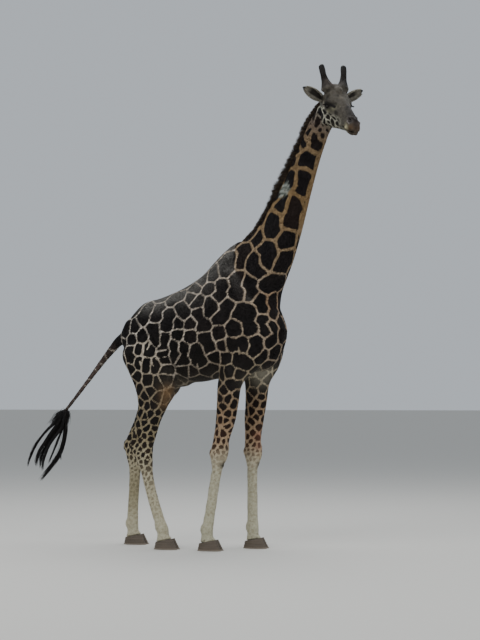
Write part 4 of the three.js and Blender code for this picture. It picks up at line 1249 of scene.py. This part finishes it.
def hair_lie(points, lie, part, along):
    """The direction of the hair at each point, in the plane of the skin: along its part's axis, and on the
    trunk somewhat down. With it, the angle of the point round that axis, in turns."""
    flow = np.zeros((len(points), 3))
    angle = np.zeros(len(points))
    for number, (name, (middles, _)) in enumerate(AXES.items()):
        here = np.flatnonzero(part == number)
        kind = name.split("_")[0]
        tangents = unit(np.gradient(middles, axis=0))
        at = np.clip((along[here] * (len(middles) - 1)).round().astype(int), 0, len(middles) - 1)
        side = {"ear": HEAD_TURN @ EAR_OPENING, "head": HEAD_TURN @ [0, 1, 0]}.get(kind, [0, 1, 0])
        offsets = points[here] - middles[at]
        upward = np.cross(tangents[at], side)
        angle[here] = np.arctan2(offsets @ side, (offsets * upward).sum(axis=1)) / (2 * math.pi) + 0.5
        flow[here] = FLOW[kind] * tangents[at] - np.array([0, 0, HAIR_FALL.get(kind, 0)])
    headward = to_head(points)
    upright = (up_the_horn(headward) > 0.12)[:, None] & on_part(part, "head")[:, None]
    horn_lines = np.where(headward[:, 1:2] < 0, HORN_LINE * [1, -1, 1], HORN_LINE)
    flow = np.where(upright, horn_lines @ HEAD_TURN.T, flow)
    return unit(flow - lie * (flow * lie).sum(axis=1)[:, None]), angle


face_area = np.linalg.norm(squared_faces(skin, skin_faces), axis=1) / 2
face_part = part[skin_faces[:, 0]]
face_middle = skin[skin_faces].mean(axis=1)


def strewn(count, wanted):
    """Random spots on the skin, as many for each bit of area as wanted says: the face of each, and how much
    of each of its corners it takes."""
    share = face_area * wanted
    picked = chance.choice(len(skin_faces), count, p=share / share.sum())
    u, v = chance.random((2, count))
    return picked, np.stack([(1 - u) * (1 - v), u * (1 - v), u * v, (1 - u) * v], axis=1)


def taken(values, spots):
    """What the skin's points hold, read at strewn spots."""
    picked, share = spots
    corners = values[skin_faces[picked]]
    return (corners * (share if values.ndim == 1 else share[:, :, None])).sum(axis=1)


coat = hide_finish("coat", 0.60, SHEEN, 0.0006, 0.0)
LOIN = -0.05           # where, fore and aft, the coat of the barrel meets that of the rump
CORONET_TOP = 0.1      # no hair grows below it
COATS = {      # parts, where they start and stop fore and aft, and the number of locks
    "coat_barrel": (("trunk",), LOIN, FAR_OFF, 47000),
    "coat_rump": (("trunk", "tail"), -FAR_OFF, LOIN, 47000),
    "coat_neck": (("neck",), -FAR_OFF, FAR_OFF, 48000),
    "coat_forelegs": (("foreleg",), -FAR_OFF, FAR_OFF, 46000),
    "coat_hindlegs": (("hindleg",), -FAR_OFF, FAR_OFF, 46000),
    "coat_head": (("head", "ear"), -FAR_OFF, FAR_OFF, 49000),
}
# length, width and height of a lock, by part, in metres; on legs they shrink towards the feet
LOCK_SIZES = {"trunk": (0.032, 0.0075, 0.0014), "neck": (0.030, 0.0070, 0.0014),
              "head": (0.013, 0.0034, 0.0007), "ear": (0.016, 0.0034, 0.0007),
              "tail": (0.030, 0.0060, 0.0014), "foreleg": (0.026, 0.0062, 0.0012),
              "hindleg": (0.026, 0.0062, 0.0012)}
LEG_LOCKS = ([0.1, 0.9, 1.6], [0.45, 0.6, 1.0])        # heights, and the share of their size there
MUZZLE_LOCKS = (0.25, 0.42, 0.4)       # from where to where, in the head's frame, they shrink by this share
SIZE_CHANGE, TONE_CHANGE = (0.75, 1.25), (0.88, 1.12)
SWING = 0.14           # how far locks are turned from the lie, usually, in radians
SOCKETS = from_head([(0.004, side * 0.146, 0.0) for side in SIDES.values()])
SOCKET_REACH = 0.027   # no hair grows so near to an eye
for name, (parts, start, stop, count) in COATS.items():
    wanted = on_part(face_part, *parts) & (face_middle[:, 0] >= start) & (face_middle[:, 0] < stop)
    wanted &= face_middle[:, 2] > CORONET_TOP
    for socket in SOCKETS:
        wanted &= np.linalg.norm(face_middle - socket, axis=1) > SOCKET_REACH
    spots = strewn(count, wanted)
    middle, out = taken(skin, spots), unit(taken(lie, spots))
    spot_part, spot_along = face_part[spots[0]], taken(along, spots)
    flow, angle = hair_lie(middle, out, spot_part, spot_along)
    swing = chance.normal(0, SWING, count)[:, None]
    flow = flow * np.cos(swing) + np.cross(out, flow) * np.sin(swing)
    sizes = np.array([LOCK_SIZES[part_name.split("_")[0]] for part_name in PARTS])[spot_part]
    small = np.where(on_part(spot_part, "fore", "hind"), np.interp(middle[:, 2], *LEG_LOCKS), 1)
    muzzle = between(to_head(middle)[:, 0], *MUZZLE_LOCKS[:2]) * on_part(spot_part, "head")
    small *= (1 - MUZZLE_LOCKS[2] * muzzle) * chance.uniform(*SIZE_CHANGE, count)
    length, width, thick = (sizes * small[:, None]).T
    root = middle - flow * length[:, None] * 0.45 - out * thick[:, None] * 0.5
    built = locks(root, flow, out, length, width, thick, 0, lift=chance.uniform(0.02, 0.10, count))
    there_rim, _ = marked(middle, out, spot_along, on_part(spot_part, "neck"), taken(half_line, spots))
    column = np.searchsorted(np.unique(spot_part), spot_part)
    spot = np.stack([(column + 0.03 + 0.94 * angle) / (column.max() + 1), 0.02 + 0.96 * spot_along], axis=1)
    tone = SHADE * chance.uniform(*TONE_CHANGE, count)[:, None] * np.ones(3)
    lock_piece(name, built, spot, coat, "coat", {"rim": there_rim, "show": taken(show, spots),
               "pale": taken(pale, spots), "dark": taken(dark, spots), "shade": tone})


# ---- horns ----
# Two bony cones that grow from the skull, covered in skin and short hair, with a bare black knob on top. They
# lean back and apart. A bull wears the hair off the top, and the front of the base is scuffed.
horn_finish = Finish("horn", 0.55, 0.25)
up_horn = horn_finish.painted("up", "Fac")
mottle = horn_finish.noise(45, 5)
hairs = horn_finish.noise(300, 3, stretch=(1, 1, 0.25))
bare = (up_horn + (mottle - 0.5) * 0.25).step(0.80, 0.92)
furred = horn_finish.mix(mottle, colour("120f0e"), colour("241f1c"))
horn_finish.use(Base_Color=horn_finish.mix(bare, furred, colour("0c0a09")), Roughness=0.75 - 0.2 * bare,
                Normal=horn_finish.bump(hairs * 0.0015 * (1.2 - bare) + mottle * 0.004))


def closed_right_way(points, faces):
    """The faces turned so that they point outwards, by the sign of the volume they close."""
    corners = np.array([face[:3] for face in faces])
    a, b, c = points[corners[:, 0]], points[corners[:, 1]], points[corners[:, 2]]
    middle = points.mean(axis=0)
    inward = np.einsum("ij,ij->i", a - middle, np.cross(b - middle, c - middle)).sum() < 0
    return [face[::-1] for face in faces] if inward else faces


BONE_START = 0.3           # how far up the horn its bone begins, under the skin
BONE_SUNK = 0.005          # how far the bone lies inside the skin there
BONE_MESH = (70, 40)


def bone_points(t, angle, side):
    """The horn from its start under the skin to its tip, thinner where skin covers it."""
    grow = BONE_SUNK * between(t, 0.15, 0.7) - BONE_SUNK
    return horn_points(BONE_START + (1 - BONE_START) * t, angle, side, grow)


for name, side in SIDES.items():
    points, faces = grid(lambda t, angle: bone_points(t, angle, side), *BONE_MESH)
    horn = new_piece(f"horn_{name}_bone", from_head(points), closed_right_way(points, faces))
    from_root = points * [1, side, 1] - HORN_ROOT
    paint(horn, up=np.clip(from_root @ HORN_LINE / (HORN_LINE @ HORN_LINE), 0, 1))
    fixed(horn, horn_finish, "horn", f"horn_{name}")

horn_hair = Finish("horn hair", 0.6, 0.15)
horn_hair.use(Base_Color=horn_hair.mix(horn_hair.noise(60), horn_hair.painted("tone"), colour("1d1815")))
HORN_LOCKS = 4000          # on each horn
HAIRED = (0.42, 0.50)      # where on the horn its hair begins, and how far it reaches, as shares of the horn
built, spots, tones = [], [], []
for side in SIDES.values():
    t, angle = HAIRED[0] + HAIRED[1] * chance.random(HORN_LOCKS), chance.random(HORN_LOCKS) * 2 * math.pi
    base = from_head(horn_points(t, angle, side))
    flow = unit(from_head(horn_points(t + 0.02, angle, side)) - base)
    turned = from_head(horn_points(t, angle + 0.05, side)) - base
    out = unit(np.cross(turned, flow))
    from_middle = base - from_head((HORN_ROOT + HORN_LINE * t[:, None]) * [1, side, 1])
    out *= np.sign((out * from_middle).sum(axis=1))[:, None]
    built.append((base - out * 0.001, flow, out))
    spots.append(np.stack([(side + 1) / 4 + 0.02 + 0.45 * angle / (2 * math.pi), t], axis=1))
    tones.append(ramp(t + chance.normal(0, 0.06, HORN_LOCKS),
                      [(0.42, "322c28"), (0.6, "1c1816"), (0.9, "0f0d0c")]))
root, flow, out = (np.vstack(group) for group in zip(*built))
length = 0.015 * chance.uniform(0.7, 1.2, len(root))
lock_piece("coat_horns", locks(root, flow, out, length, 0.003, 0.0008, 1, 0.12), np.vstack(spots), horn_hair,
           "horn", {"tone": np.vstack(tones)})


# ---- eyes and lids ----
# Large dark eyes on the sides of the head, turned a little ahead and down. Heavy lids cover all but a long
# almond of each, and the upper one has a fringe of long dark lashes.
EYE_RADIUS = 0.029
EYE_ASIDE = 0.120
EYE_FACING = unit(np.array([0.20, 0.96, -0.16]))
EYE_LEVEL = unit(np.cross(EYE_FACING, [0, 0, 1.0]))
EYE_UP = np.cross(EYE_LEVEL, EYE_FACING)
EYE_DOME = (0.0015, 0.45)              # how proud the clear dome stands, and how wide it is in radians
EYE_MESH = (48, 64)
PUPIL = (0.30, 0.13)                   # half its length and half its height, against the eye's radius

eye_finish = Finish("eye", 0.06)
ring = eye_finish.painted("from_middle", "Fac")
fibres = eye_finish.noise(380, 4)
iris = eye_finish.mix(fibres, colour("1c0f08"), colour("3a2213"))
iris = eye_finish.mix(ring.step(0.42, 0.52), iris, colour("0f0a08"))
iris = eye_finish.mix(eye_finish.painted("pupil", "Fac").step(0.9, 1.1), colour("050505"), iris)
iris = eye_finish.mix(ring.step(0.72, 0.85), iris, colour("5d4a3e"))
eye_finish.use(Base_Color=iris, Roughness=0.04 + fibres * 0.03)
eye_finish.shader.inputs["Coat Weight"].default_value = 1.0
eye_finish.shader.inputs["Coat Roughness"].default_value = 0.02


def eye_points(t, angle, side):
    """A ball from its front pole to its back one, with a dome that stands proud in front by its height times
    exp(-(turn from the pole / its width)^2). In the head's frame."""
    turned = math.pi * (0.004 + 0.992 * t)
    proud = EYE_RADIUS + EYE_DOME[0] * np.exp(-(turned / EYE_DOME[1]) ** 2)
    points = (EYE_FACING * (proud * np.cos(turned))[:, None]
              + EYE_LEVEL * (proud * np.sin(turned) * np.cos(angle))[:, None]
              + EYE_UP * (proud * np.sin(turned) * np.sin(angle))[:, None])
    return (points + [0, EYE_ASIDE, 0]) * [1, side, 1]


LID_ALMOND = (0.0255, 0.0155)        # half length and half height of the opening
LID_RIM = (0.046, 0.038)             # where the lids run into the face
LID_ROLL = 0.12                      # the share of the way out that the rolled edge takes
LID_DOME = (0.050, 0.043, 0.0335)    # half length, half height and depth of the dome that the lids lie on
LID_MESH = (40, 72)
lid_finish = Finish("lids", 0.6, 0.12)
lid_noise = lid_finish.noise(120, 4)
lid_tone = lid_finish.mix(lid_finish.painted("outward", "Fac").step(0.25, 0.95), colour("0a0807"),
                          colour("1a1613"))
lid_finish.use(Base_Color=lid_finish.mix(lid_noise * 0.5, lid_tone, colour("241e1a")),
               Roughness=0.55 + 0.25 * lid_noise,
               Normal=lid_finish.bump(lid_noise * 0.0012 + lid_finish.noise(420, 3) * 0.0006))


def lid_points(t, angle, side):
    """The lids of one eye, from the tucked-in edge of the opening out to the face. In front of the eye, depth
    over the ball is that of a flatter dome, with a roll at the edge and two folds above the upper lid."""
    upper = np.maximum(np.sin(angle), 0)
    almond = 1 - 0.30 * np.abs(np.cos(angle)) ** 3 * (1 - np.abs(np.sin(angle)))
    past_roll = np.clip((t - LID_ROLL) / (1 - LID_ROLL), 0, 1)
    level = (LID_ALMOND[0] + (LID_RIM[0] - LID_ALMOND[0]) * past_roll) * np.cos(angle)
    rise = (LID_ALMOND[1] * almond * (1 - 0.25 * upper)
            + (LID_RIM[1] - LID_ALMOND[1]) * past_roll) * np.sin(angle)
    around = np.sqrt((level / LID_DOME[0]) ** 2 + (rise / LID_DOME[1]) ** 2)
    dome = LID_DOME[2] * np.sqrt(np.clip(1 - around ** 2, 0, 1))
    ball_depth = np.sqrt(np.clip(EYE_RADIUS ** 2 - level ** 2 - rise ** 2, 0, 1))
    folds = 0.0011 * np.sin(t * 20) * upper * between(t, 0.15, 0.3) * between(t, 1.0, 0.7)
    depth = np.where(t < LID_ROLL, ball_depth - 0.003 + 0.0065 * between(t, 0.0, LID_ROLL),
                     np.maximum(dome, ball_depth + 0.0030) + 0.0016 * upper + folds)
    depth -= 0.010 * between(t, 0.72, 1.0)
    points = EYE_FACING * depth[:, None] + EYE_LEVEL * level[:, None] + EYE_UP * rise[:, None]
    return from_head((points + [0, EYE_ASIDE, 0]) * [1, side, 1])


LASHES = 110
LASH_LENGTH = 0.030
for name, side in SIDES.items():
    mirror = np.array([1, side, 1])
    points, faces = grid(lambda t, angle: eye_points(t, angle, side), *EYE_MESH)
    eye = new_piece(f"eye_{name}_ball", from_head(points), closed_right_way(points, faces))
    local = unit(points * mirror - [0, EYE_ASIDE, 0])
    paint(eye, from_middle=np.arccos(np.clip(local @ EYE_FACING, -1, 1)),
          pupil=np.hypot(local @ EYE_LEVEL / PUPIL[0], local @ EYE_UP / PUPIL[1])
          + FAR_OFF * (local @ EYE_FACING < 0))
    fixed(eye, eye_finish, "eye", f"eye_{name}")

    points, faces = grid(lambda t, angle: lid_points(t, angle, side), *LID_MESH, closed=False)
    corners = np.array(faces)
    if (squared_faces(points, corners) @ (HEAD_TURN @ (EYE_FACING * mirror))).sum() < 0:
        corners = corners[:, ::-1]
    lids = new_piece(f"lids_{name}", points, corners.tolist())
    paint(lids, outward=np.repeat(np.linspace(0, 1, LID_MESH[0]), LID_MESH[1]))
    fixed(lids, lid_finish, "face")

    spread = np.linspace(0.12, 0.90, LASHES) * math.pi + chance.normal(0, 0.02, LASHES)
    edge = lid_points(np.full(LASHES, 0.13), spread, side)
    fan = EYE_FACING * 0.9 + EYE_LEVEL * (0.75 * np.cos(spread))[:, None] + EYE_UP * 0.05
    fan = unit((fan + chance.normal(0, 0.08, (LASHES, 3))) * mirror) @ HEAD_TURN.T
    over = HEAD_TURN @ (EYE_UP * mirror)
    length = LASH_LENGTH * chance.uniform(0.7, 1.15, LASHES)
    lash = locks(edge, fan, np.tile(over, (LASHES, 1)), length, 0.0016, 0.0009, 4, lift=-0.35,
                 droop=over * 0.012)
    lock_piece(f"lashes_{name}", lash, np.stack([0.1 + 0.8 * spread / math.pi, np.full(LASHES, 0.5)], axis=1),
               horn_hair, "mane_hair", {"tone": np.tile(colour("0d0a09"), (LASHES, 1))})


# ---- ear fringes ----
# Long pale hairs grow from the rims of the ears' hollow and cross its opening.
FRINGE = 900               # hairs on each ear
FRINGE_LENGTH = 0.034      # at the root of the ear; half of it at the tip
fringe_hair = Finish("ear hair", 0.6, 0.15)
fringe_hair.use(Base_Color=fringe_hair.painted("tone"))
for name, side in SIDES.items():
    t = chance.uniform(0.05, 0.88, FRINGE)
    lower_rim = chance.random(FRINGE) < 0.5
    angle = np.where(lower_rim, 0.25, math.pi - 0.25) + chance.normal(0, 0.16, FRINGE)
    base = from_head(ear_points(t, angle, side))
    reach = (EAR_OPENING * 0.5 + EAR_LINE * 0.75
             + EAR_ACROSS * np.where(lower_rim, -0.55, 0.55)[:, None] + chance.normal(0, 0.12, (FRINGE, 3)))
    reach = (unit(reach) * [1, side, 1]) @ HEAD_TURN.T
    out = np.tile(HEAD_TURN @ (EAR_OPENING * [1, side, 1]), (FRINGE, 1))
    tone = ramp(chance.random(FRINGE), [(0, "5f5a50"), (0.6, "938d7f"), (1, "cfc9b8")])
    length = FRINGE_LENGTH * chance.uniform(0.6, 1.2, FRINGE) * (1 - 0.5 * t)
    lock_piece(f"fringe_{name}", locks(base, reach, out, length, 0.0022, 0.0010, 2),
               np.stack([t, np.where(lower_rim, 0.3, 0.7)], axis=1), fringe_hair, "face", {"tone": tone})


# ---- mane ----
# A short stiff brush of dark brown hair stands along the back of the neck, from the withers to the poll, and
# leans a little down the neck. It is ragged near the head.
MANE_HEIGHTS = [[0.018], [0.040], [0.056], [0.092], [0.072], [0.062], [0.042], [0.018]]
MANE_ROWS = NECK[2:]
MANE_LOCKS = 12500
mane_finish = Finish("mane hair", 0.5, 0.25)
strands = mane_finish.noise(240, 3)
mane_finish.use(Base_Color=mane_finish.mix(strands * 0.5, mane_finish.painted("tone"), colour("0e0a09")),
                Roughness=0.45 + 0.2 * strands)
t = chance.random(MANE_LOCKS)
row = smooth_rows(MANE_ROWS, t)
rise = smooth_rows(MANE_HEIGHTS, t)[:, 0]
back = np.stack([row[:, 0], row[:, 4], row[:, 1]], axis=1)
outward = unit(back - np.stack([row[:, 2], row[:, 4], row[:, 3]], axis=1))
nape = smooth_rows(MANE_ROWS, np.minimum(t + 0.01, 1)) - smooth_rows(MANE_ROWS, np.maximum(t - 0.01, 0))
down_neck = -unit(np.stack([nape[:, 0], np.zeros(len(t)), nape[:, 1]], axis=1))
beside = chance.uniform(-1, 1, MANE_LOCKS)     # from the right edge of the brush to its left one
root = back - outward * (0.012 + 0.010 * beside ** 2)[:, None] + np.array([0, 0.020, 0]) * beside[:, None]
clump = np.sin(t * 190) + np.sin(t * 83 + 1) + 0.8 * np.sin(t * 37)
lean = 0.28 + 0.10 * clump + chance.normal(0, 0.10, MANE_LOCKS)
stand = outward + down_neck * lean[:, None]
stand = unit(stand + np.array([0, 0.30, 0]) * (beside + 0.3 * np.sin(t * 61))[:, None])
length = rise * (1 - 0.35 * beside ** 2) * chance.uniform(0.60, 1.10, MANE_LOCKS) * (1 + 0.06 * clump) + 0.014
tone = ramp(chance.random(MANE_LOCKS), [(0, "8d7c66"), (0.15, "5d4d3f"), (0.4, "3a2f27"), (0.8, "221b17"),
                                        (1, "4b3b2f")])
lock_piece("mane_brush", locks(root, stand, down_neck, length, 0.0060, 0.0030, 2, droop=down_neck * 0.008),
           np.stack([0.02 + 0.96 * t, 0.5 + 0.4 * beside], axis=1), mane_finish, "mane_hair", {"tone": tone},
           "mane")


# ---- tail tassel ----
# Long black wiry hairs grow from the last stretch of the tail. They start as a thick knot and hang in wisps
# that part from each other on the way down.
WISPS = [      # the way of each in the camera's frame, its spread, its number of hairs, and its y
    ([(66, 411), (61, 415), (56, 420), (51, 426)], 0.020, 260, 0.05),
    ([(67, 411), (66, 417), (65, 426)], 0.016, 240, 0.05),
    ([(66, 411), (60, 419), (46, 431), (35.5, 445), (30, 459), (28, 468)], 0.006, 110, 0.09),
    ([(66, 411), (59, 423), (49, 436), (40.5, 450), (37, 460), (36, 467)], 0.009, 190, 0.03),
    ([(66, 411), (61, 425), (49, 442), (41.5, 456), (39.5, 469)], 0.008, 170, 0.07),
    ([(66, 411), (62, 427), (54, 438), (46.5, 451), (42.5, 462), (42, 471)], 0.006, 120, 0.00),
    ([(66, 411), (63, 428), (58, 440), (51, 456), (48, 464)], 0.004, 60, 0.10),
    ([(67, 411), (66, 424), (65, 436), (61, 450), (54, 462), (46, 473), (40, 482)], 0.010, 300, 0.06),
    ([(67, 411), (65, 430), (61, 450), (61.5, 461)], 0.004, 40, 0.03),
]
HAIR_RINGS = 9
HAIR_WIDTH = 0.0042        # each stands for a few real hairs
tassel_finish = Finish("tassel hair", 0.42, 0.35)
gloss = tassel_finish.noise(160, 3)
tassel_finish.use(Base_Color=tassel_finish.mix(gloss * 0.6, tassel_finish.painted("tone"), colour("060505")),
                  Roughness=0.36 + 0.2 * gloss)


def at_pixel(pixel, y):
    """The place in the body's frame that shows at a pixel and lies that far to the left."""
    beside, below = pixel[0] - FRAME_SIZE[0] / 2, pixel[1] - FRAME_SIZE[1] / 2
    ray = sight * FOCAL_PIXELS + sight_right * beside - sight_up * below
    return eye_place + ray * (y - eye_place[1]) / ray[1]


built, spots, tones = [], [], []
for number, (pixels_on, radius, hairs, y) in enumerate(WISPS):
    rows = [at_pixel(pixel, y) for pixel in pixels_on]
    root = round_tube(TAIL, chance.uniform(0.86, 1.0, hairs), chance.random(hairs) * 2 * math.pi, -0.006)
    loose = chance.normal(0, radius, (hairs, 3))
    cut = chance.uniform(0.70, 1.0, hairs)
    phase = chance.random(hairs)[:, None] * 1.5 + number
    path = []
    for way in np.linspace(0, 1, HAIR_RINGS + 2):
        held = (1 - min(1, way * 3)) ** 2
        wave = np.array([0.007, 0.004, -0.005]) * np.sin(9 * way + phase) * way
        path.append(smooth_rows(rows, way * cut) + (root - rows[0]) * held + loose * (1 - held) + wave)
    built.append(path)
    spots.append(np.stack([(number + chance.uniform(0.1, 0.9, hairs)) / len(WISPS), chance.random(hairs)],
                          axis=1))
    tones.append(ramp(chance.random(hairs), [(0, "0a0808"), (0.8, "131010"), (1, "2a211d")]))


def strands_along(path, width):
    """Closed three-sided hairs whose rings stand on given points, one array for each ring, ends included."""
    whole, rings = path[-1] - path[0], len(path) - 2
    points, triangles, spread = locks(path[0], whole, np.tile([0.0, 1.0, 0.0], (len(whole), 1)), 1, width,
                                      width * 0.6, rings)
    points = points.reshape(len(whole), -1, 3)
    for ring, way in enumerate(np.linspace(LOCK_START, LOCK_STOP, rings)):
        points[:, 1 + 3 * ring:4 + 3 * ring] += (path[ring + 1] - (path[0] + whole * way))[:, None]
    return points.reshape(-1, 3), triangles, spread


path = [np.vstack(step) for step in zip(*built)]
lock_piece("tassel", strands_along(path, HAIR_WIDTH), np.vstack(spots), tassel_finish, "tassel_hair",
           {"tone": np.vstack(tones)}, "tail_tassel")


# ---- hooves ----
# Each foot has two broad claws of dark horn that meet along a cleft. Their walls lean in from a flat sole and
# are ringed by slow growth; the lower edge is chipped and paler.
HOOF_LENGTH = 0.275
CLAW_WIDTH = 0.096
CLAW_RISE = 0.150
CLEFT = 0.006
CLAW_MESH = (40, 72)
hoof_finish = Finish("hoof", 0.48, 0.4)
level_rings = hoof_finish.noise(55, 3, stretch=(0.12, 0.12, 1.0))
grain = hoof_finish.noise(190, 4, stretch=(1, 1, 0.12))
hoof_tone = hoof_finish.mix(level_rings, colour("2e2721"), colour("5d5144"))
hoof_tone = hoof_finish.mix(grain * 0.4, hoof_tone, colour("7a6d5c"))
low = hoof_finish.node("ShaderNodeSeparateXYZ", {}, {"Vector": hoof_finish.place}, "Z")
hoof_tone = hoof_finish.mix((low * -1 + 0.022 + (grain - 0.5) * 0.02).step(0.0, 0.018) * 0.7, hoof_tone,
                            colour("85796a"))
hoof_finish.use(Base_Color=hoof_tone, Roughness=0.40 + 0.3 * grain,
                Normal=hoof_finish.bump(level_rings * 0.004 + grain * 0.0015))


def claw_points(t, angle, foot_x, foot_y, half):
    """A claw's wall: an oval sole nearly straight along the cleft, drawn in and back as it rises, cut off at
    the coronet, which slopes down to the heels."""
    reach, wide = HOOF_LENGTH / 2 - 0.052 * t ** 0.8, CLAW_WIDTH - 0.024 * t
    swell = 1 + 0.012 * np.sin(t * 34) * (t > 0.02)
    sine = np.sin(angle)
    bulge = np.where(sine > 0, sine, -np.abs(sine) ** 0.55)
    x = foot_x + 0.028 - 0.024 * t + reach * np.cos(angle) * swell
    y = foot_y + half * (CLEFT / 2 + wide * (0.42 + np.where(sine > 0, 0.58 * swell, 0.42) * bulge))
    top = CORONET_HEIGHT + CORONET_SLOPE * (x - foot_x)
    return np.stack([x, y, np.minimum(CLAW_RISE * t, top)], axis=1)


for name in LEGS:
    sizes, side = leg_sizes(name)
    foot_x, foot_y = STANCE[name][-2], side * sizes[-2][2]
    foot = name.replace("leg", "")
    for claw_name, half in (("inner", -side), ("outer", side)):
        points, faces = grid(lambda t, a: claw_points(t, a, foot_x, foot_y, half), *CLAW_MESH)
        claw = new_piece(f"{foot}_{claw_name}_claw", points, closed_right_way(points, faces))
        fixed(claw, hoof_finish, "hoof", f"hoof_{foot}_{claw_name}")


# ---- floor and light ----
# A plain pale studio floor, and wide soft lamps above and to both sides, so that no shadow is hard.
FLOOR_HALF = 300
LAMP_AIM = Vector((0, 0, 2.6))     # the middle of the animal
SKY_TONE = (0.80, 0.86, 0.93, 1)
SKY_STRENGTH = 0.62
floor_points = FLOOR_HALF * np.array([(-1.0, -1, 0), (1, -1, 0), (1, 1, 0), (-1, 1, 0)])
floor = new_piece("floor", floor_points - BODY_PLACE * [1, 1, 0], [[0, 1, 2, 3]])
floor_finish = Finish("floor", 0.85)
floor_finish.use(Base_Color=colour("c9c7c1"))
floor.data.materials.append(floor_finish.material)

LAMPS = {      # place, size across, watts
    "key": ((-3.0, -9.0, 10.0), 7.0, 620), "fill": ((10.0, -5.0, 5.0), 6.0, 260),
    "top": ((0.0, 3.0, 12.0), 9.0, 900),
}
for name, (place, size, watts) in LAMPS.items():
    lamp = bpy.data.objects.new(name, bpy.data.lights.new(name, "AREA"))
    lamp.data.size = size
    lamp.data.energy = watts
    lamp.location = place
    lamp.rotation_euler = (LAMP_AIM - Vector(place)).to_track_quat("-Z", "Y").to_euler()
    bpy.context.scene.collection.objects.link(lamp)
sky = bpy.data.worlds.new("studio")
sky.use_nodes = True
sky.node_tree.nodes["Background"].inputs["Color"].default_value = SKY_TONE
sky.node_tree.nodes["Background"].inputs["Strength"].default_value = SKY_STRENGTH
bpy.context.scene.world = sky
